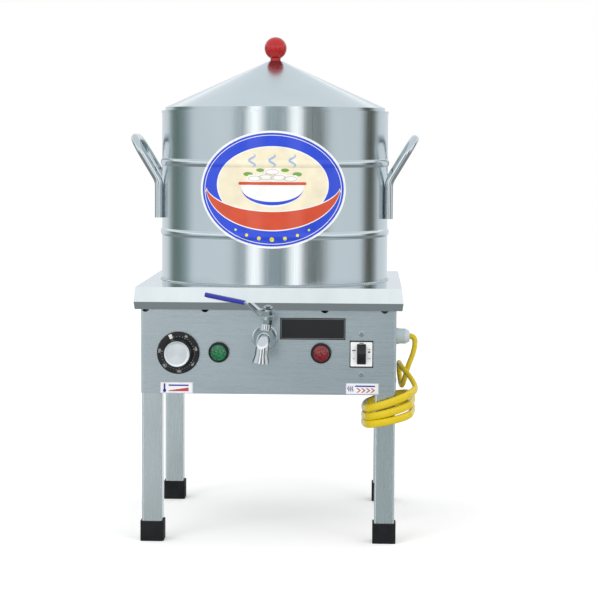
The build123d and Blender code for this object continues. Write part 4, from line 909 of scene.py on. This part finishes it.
def dial():
    """The dial's dots, figures, pointing mark and bright spun cap, which turn with it."""
    cx, cz = middle("dial_knob")
    white = moulded("dial_print", paint("E9ECEC"), 0.5, 1500.0)

    def at(r, degree):
        a = radians(degree + DIAL_ZERO)
        return -r * sin(a), r * cos(a)

    ticks, figures = [], []
    last = len(DIAL_FIGURES) * TICKS_A_FIGURE
    for i in range(1, last + 1):
        degree = -DIAL_SWEEP * i / last
        if i % TICKS_A_FIGURE:
            x, z = at(DOT_AT, degree)
            ticks.append([oval(x, z, DOT_R, DOT_R, 10)])
            continue
        x, z = at(FIGURE_AT, degree)
        turn = radians(degree + DIAL_ZERO)
        text = DIAL_FIGURES[i // TICKS_A_FIGURE - 1]
        figures.append((text, cx + x, cz + z, FIGURE_HEIGHT, turn))
        (near_x, near_z), (far_x, far_z) = at(BAR_FROM, degree), at(BAR_TO, degree)
        dx, dz = (far_z - near_z) * BAR_HALF, (near_x - far_x) * BAR_HALF
        ticks.append([[(near_x - dx, near_z - dz), (far_x - dx, far_z - dz),
                       (far_x + dx, far_z + dz), (near_x + dx, near_z + dz)]])
    ticks.append([[at(r, degree) for r, degree in MARK]])
    panel_plate("dial_ticks", ticks, cx, cz, DIAL_TICKS, "label", "dial", white)
    words("dial_figures", figures, DIAL_WORDS_LIFT, "label", "dial", white)
    spun = Shader("spun_cap", paint("E6EBEE"), 0.30, 0.8, Anisotropic=0.85)
    tangent = spun.node("ShaderNodeTangent", direction_type="RADIAL", axis="Z")
    spun.link(tangent.outputs["Tangent"], spun.bsdf.inputs["Tangent"])
    spun.tint(spun.noise(30.0, 2.0), 0.97, 1.03)

    def build(work):
        lathe(work, [(r * MM, h * MM) for r, h in CAP_DISH], CAP_SIDES)
    face = own("dial_cap_face", mesh_of("dial_cap_face", build), "dial", "mirror_steel", spun.mat)
    face.matrix_world = facing(cx * MM, PANEL_Y - CAP_FACE * MM, cz * MM)
    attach(face, "dial")


BREAKER_W, BREAKER_H, WINDOW_W, WINDOW_H = 32.3, 36.3, 13.4, 30.4
BREAKER_BARS = ((-11.4, 5.6, 5.2, 1.5, 0.3), (11.4, 3.4, 3.2, 2.4, 0.4), (0, 16.6, 7.0, 1.3, 0.4))
BREAKER_WORDS = (("ON", 11.4, 7.2, 3.0), ("OFF", 11.4, -6.6, 3.0), ("I", -11.4, 2.4, 3.4),
                 ("O", -11.4, -6.6, 3.4))       # text, place and height


def breaker():
    """The breaker's white face label with its window, three bars, and ON, OFF, I and O."""
    cx, cz = middle("breaker_toggle")
    ink = moulded("ink", paint("2B3038"), 0.5, 1500.0)
    label = [rounded(0, 0, BREAKER_W, BREAKER_H, 1.2), rounded(0, 0, WINDOW_W, WINDOW_H, 0.8)]
    panel_plate("breaker_label", [label], cx, cz, BREAKER_LABEL, "label")
    bars = [[rounded(*bar)] for bar in BREAKER_BARS]
    panel_plate("breaker_marks", bars, cx, cz, BREAKER_MARKS, "label", "root", ink)
    items = [(text, cx + x, cz + z, height, 0) for text, x, z, height in BREAKER_WORDS]
    words("breaker_words", items, BREAKER_WORDS_LIFT, "label", "root", ink)


# ------------------------ cloth, screws and weld
CLOTH_R, CLOTH_Z, CLOTH_THICK = 174.1, 632.32, 0.5
CLOTH_SPAN, CLOTH_SAG = 166.0, 1.3              # inside the hoop's wall
CLOTH_RINGS, CLOTH_STEPS = 40, 160
PULL_DEEP, PULLS = 0.22, 34                     # mm, and pulls round the rim


def cloth():
    """The steaming cloth, drawn over the hoop: a shallow sag and pulls towards its rim."""
    def low(r, turn):
        if r >= CLOTH_SPAN:
            return CLOTH_Z
        share = r / CLOTH_SPAN
        wave = sin(PULLS * turn + 2.2 * sin(5 * turn))
        pull = PULL_DEEP * wave * share ** 6 * (1 - share ** 12)
        fall = PULL_DEEP * share ** 6 * (1 - share ** 12)
        return CLOTH_Z - CLOTH_SAG * (1 - share ** 2) + pull - fall

    def build(work):
        sides = []
        for lift in (0.0, CLOTH_THICK):
            rings = [[work.verts.new(m(0, 0, low(0, 0) + lift))]]
            turns = [2 * pi * k / CLOTH_STEPS for k in range(CLOTH_STEPS)]
            for i in range(1, CLOTH_RINGS + 1):
                r = CLOTH_R * i / CLOTH_RINGS
                rings.append([work.verts.new(m(r * cos(t), r * sin(t), low(r, t) + lift))
                              for t in turns])
            for inner, outer in zip(rings, rings[1:]):
                for k in range(CLOTH_STEPS):
                    j = (k + 1) % CLOTH_STEPS
                    corners = [inner[k % len(inner)], outer[k], outer[j], inner[j % len(inner)]]
                    work.faces.new(list(dict.fromkeys(corners)))
            sides.append(rings[-1])
        for k in range(CLOTH_STEPS):
            work.faces.new((sides[0][k - 1], sides[0][k], sides[1][k], sides[1][k - 1]))

    made = own("steaming_cloth", mesh_of("steaming_cloth", build), "hoop", "cloth")
    crease(made, 50)
    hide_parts("hoop_cloth")


# Screws whose heads show, by side: the turn from the front, and places across and up (mm)
SCREW_SIDES = ((0, ((138.4, 254.45), (138.4, 314.95))),
               (180, ((-174, 248.5), (-174, 325), (174, 248.5), (174, 325))),
               (90, ((-58, 230.5), (58, 230.5))), (-90, ((-58, 230.5), (58, 230.5))))
SCREW_FACE, SCREW_CROWN = 192.02, 0.45          # flat heads' distance from the axis; crown's height
CROWN_R, CROWN_SLOPE_R, SCREW_R = 3.1, 3.5, 3.8
CROSS_LONG, CROSS_HALF = 1.95, 0.42
SCREW_STEPS = 40


def screw_crowns():
    """The rounded, cross-cut crowns of the screw heads."""
    corner = ((CROSS_LONG, -CROSS_HALF), (CROSS_LONG, CROSS_HALF), (CROSS_HALF, CROSS_HALF))
    rim = ((CROWN_R, 0), (CROWN_R, SCREW_CROWN), (CROWN_SLOPE_R, SCREW_CROWN * 0.6), (SCREW_R, 0),
           (CROWN_R, 0))

    def build(work):
        for number, (turn, places) in enumerate(SCREW_SIDES):
            for across, z in places:
                cross = []
                for k in range(4):
                    # each screw stopped at its own turn
                    spin = pi / 2 * k + 0.6 * number + 0.021 * z
                    cross += [((x * cos(spin) - y * sin(spin)) * MM,
                               (x * sin(spin) + y * cos(spin)) * MM) for x, y in corner]
                out = Matrix.Translation((across * MM, -(SCREW_FACE + SCREW_CROWN) * MM, 0))
                side = Matrix.Rotation(radians(turn), 4, "Z")
                place = Matrix.Translation((0, POT_Y, z * MM)) @ side @ out
                top = oval(0, 0, CROWN_R * MM, CROWN_R * MM, SCREW_STEPS)
                slab(work, top, SCREW_CROWN * MM, place, [cross])
                lathe(work, [(r * MM, (h - SCREW_CROWN) * MM) for r, h in rim], SCREW_STEPS,
                      place @ Matrix.Rotation(pi / 2, 4, "X"))
    made = own("screw_crowns", mesh_of("screw_crowns", build), "root", "zinc")
    crease(made)


WELD_STEPS = 900
WELD_FOOT = 383.05                              # mm, its underside
RIPPLES, RIPPLE = 220, 0.16                     # round the pot, and mm deep


def weld_bead():
    """The fine rippled bead that seals the pot's foot to the tray."""
    def build(work):
        rings = []
        for i in range(WELD_STEPS):
            turn = 2 * pi * i / WELD_STEPS
            swell = RIPPLE * sin(turn * RIPPLES) + 0.12 * sin(turn * 23 + 1.3 * sin(turn * 7))
            section = ((177.05, WELD_FOOT), (177.05, 385.2 + swell), (177.9, 384.6 + swell),
                       (179.0 + swell, 383.8), (179.5 + swell, WELD_FOOT))
            rings.append([work.verts.new(m(r * cos(turn), r * sin(turn), z)) for r, z in section])
        for a, b in zip(rings[-1:] + rings[:-1], rings):
            for k in range(len(a)):
                work.faces.new((a[k - 1], a[k], b[k], b[k - 1]))
    own("weld_bead", mesh_of("weld_bead", build), "root", None, FINISH["weld"])


# ------------------------ nameplate and labels
LABEL_W, LABEL_H = 48.5, 16.4


def plates():
    """Thin borders on the bare nameplate and on the two labels, and the labels' plain pictures."""
    def border(w, h, outer, inner, outer_r, inner_r):
        return [rounded(0, 0, w - outer, h - outer, outer_r),
                rounded(0, 0, w - inner, h - inner, inner_r)]

    low, high = box_mm("nameplate")
    silver = brushed("plate_line", paint("A9AEB1"), 0.4, ALONG_X)
    line = border(high.x - low.x, high.z - low.z, 3, 3.9, 1.2, 0.9)
    panel_plate("nameplate_line", [line], *middle("nameplate"), NAMEPLATE_PRINT, "plate",
                "root", silver)
    blue, red, lilac = (moulded(f"print_{name}", paint(code), 0.5, 1500.0) for name, code in
                        (("blue", "2C2C9C"), ("red", "B8434E"), ("lilac", "C9C6DE")))
    low, high = box_mm("labels")
    left = low.x + LABEL_W / 2, low.z + LABEL_H / 2
    right = high.x - LABEL_W / 2, high.z - LABEL_H / 2
    line = border(LABEL_W, LABEL_H, 0.6, 1.6, 0.8, 0.5)
    for side, place in (("left", left), ("right", right)):
        panel_plate(f"label_{side}_line", [line], *place, LABEL_PRINT, "label", "root", lilac)
    # left, a thermometer and a rising wedge
    glass = [[rounded(-18, 1.6, 2.6, 9.6, 1.2)], [oval(-18, -4.4, 2.5, 2.5, 24)],
             [rounded(3, 3.6, 30, 2.2, 0.6)]]
    wedge = [[[(-12, -5.4), (18, -5.4), (18, 0.4), (-12, -4.2)]]]
    panel_plate("label_left_blue", glass, *left, LABEL_PRINT, "label", "root", blue)
    panel_plate("label_left_red", wedge, *left, LABEL_PRINT, "label", "root", red)
    # right, waves of heat, and arrowheads for more of it
    waves = []
    for k in (-20.5, -17.5, -14.5):
        points = [(k + 0.9 * sin(2 * pi * i / 12), -5 + 10 * i / 16) for i in range(17)]
        waves.append([band(points, 1.5)])
    waves.append([rounded(4, 3.9, 30, 2.2, 0.6)])
    heads = [[[(k, -5.8), (k + 4.5, -2.4), (k, 1.0),
               (k + 2.6, 1.0), (k + 7.1, -2.4), (k + 2.6, -5.8)]] for k in (-9, -2, 5, 12)]
    panel_plate("label_right_blue", waves, *right, LABEL_PRINT, "label", "root", blue)
    panel_plate("label_right_red", heads, *right, LABEL_PRINT, "label", "root", red)


# ------------------------ putting it together
def main():
    """Finish the frame's nodes by their slots, set the studio, and add the pieces."""
    FINISH.update(finishes())
    for part in frame["record"]["subparts"]:
        materials = NODES[part["node"]].data.materials
        materials.clear()
        materials.append(FINISH[part["material_slot"]])
    bpy.context.scene.view_settings.view_transform = "Standard"
    camera()
    world()
    floor()
    for light in LIGHTS:
        softbox(*light)
    lead()
    badge_print()
    dial()
    breaker()
    plates()
    cloth()
    screw_crowns()
    weld_bead()


main()
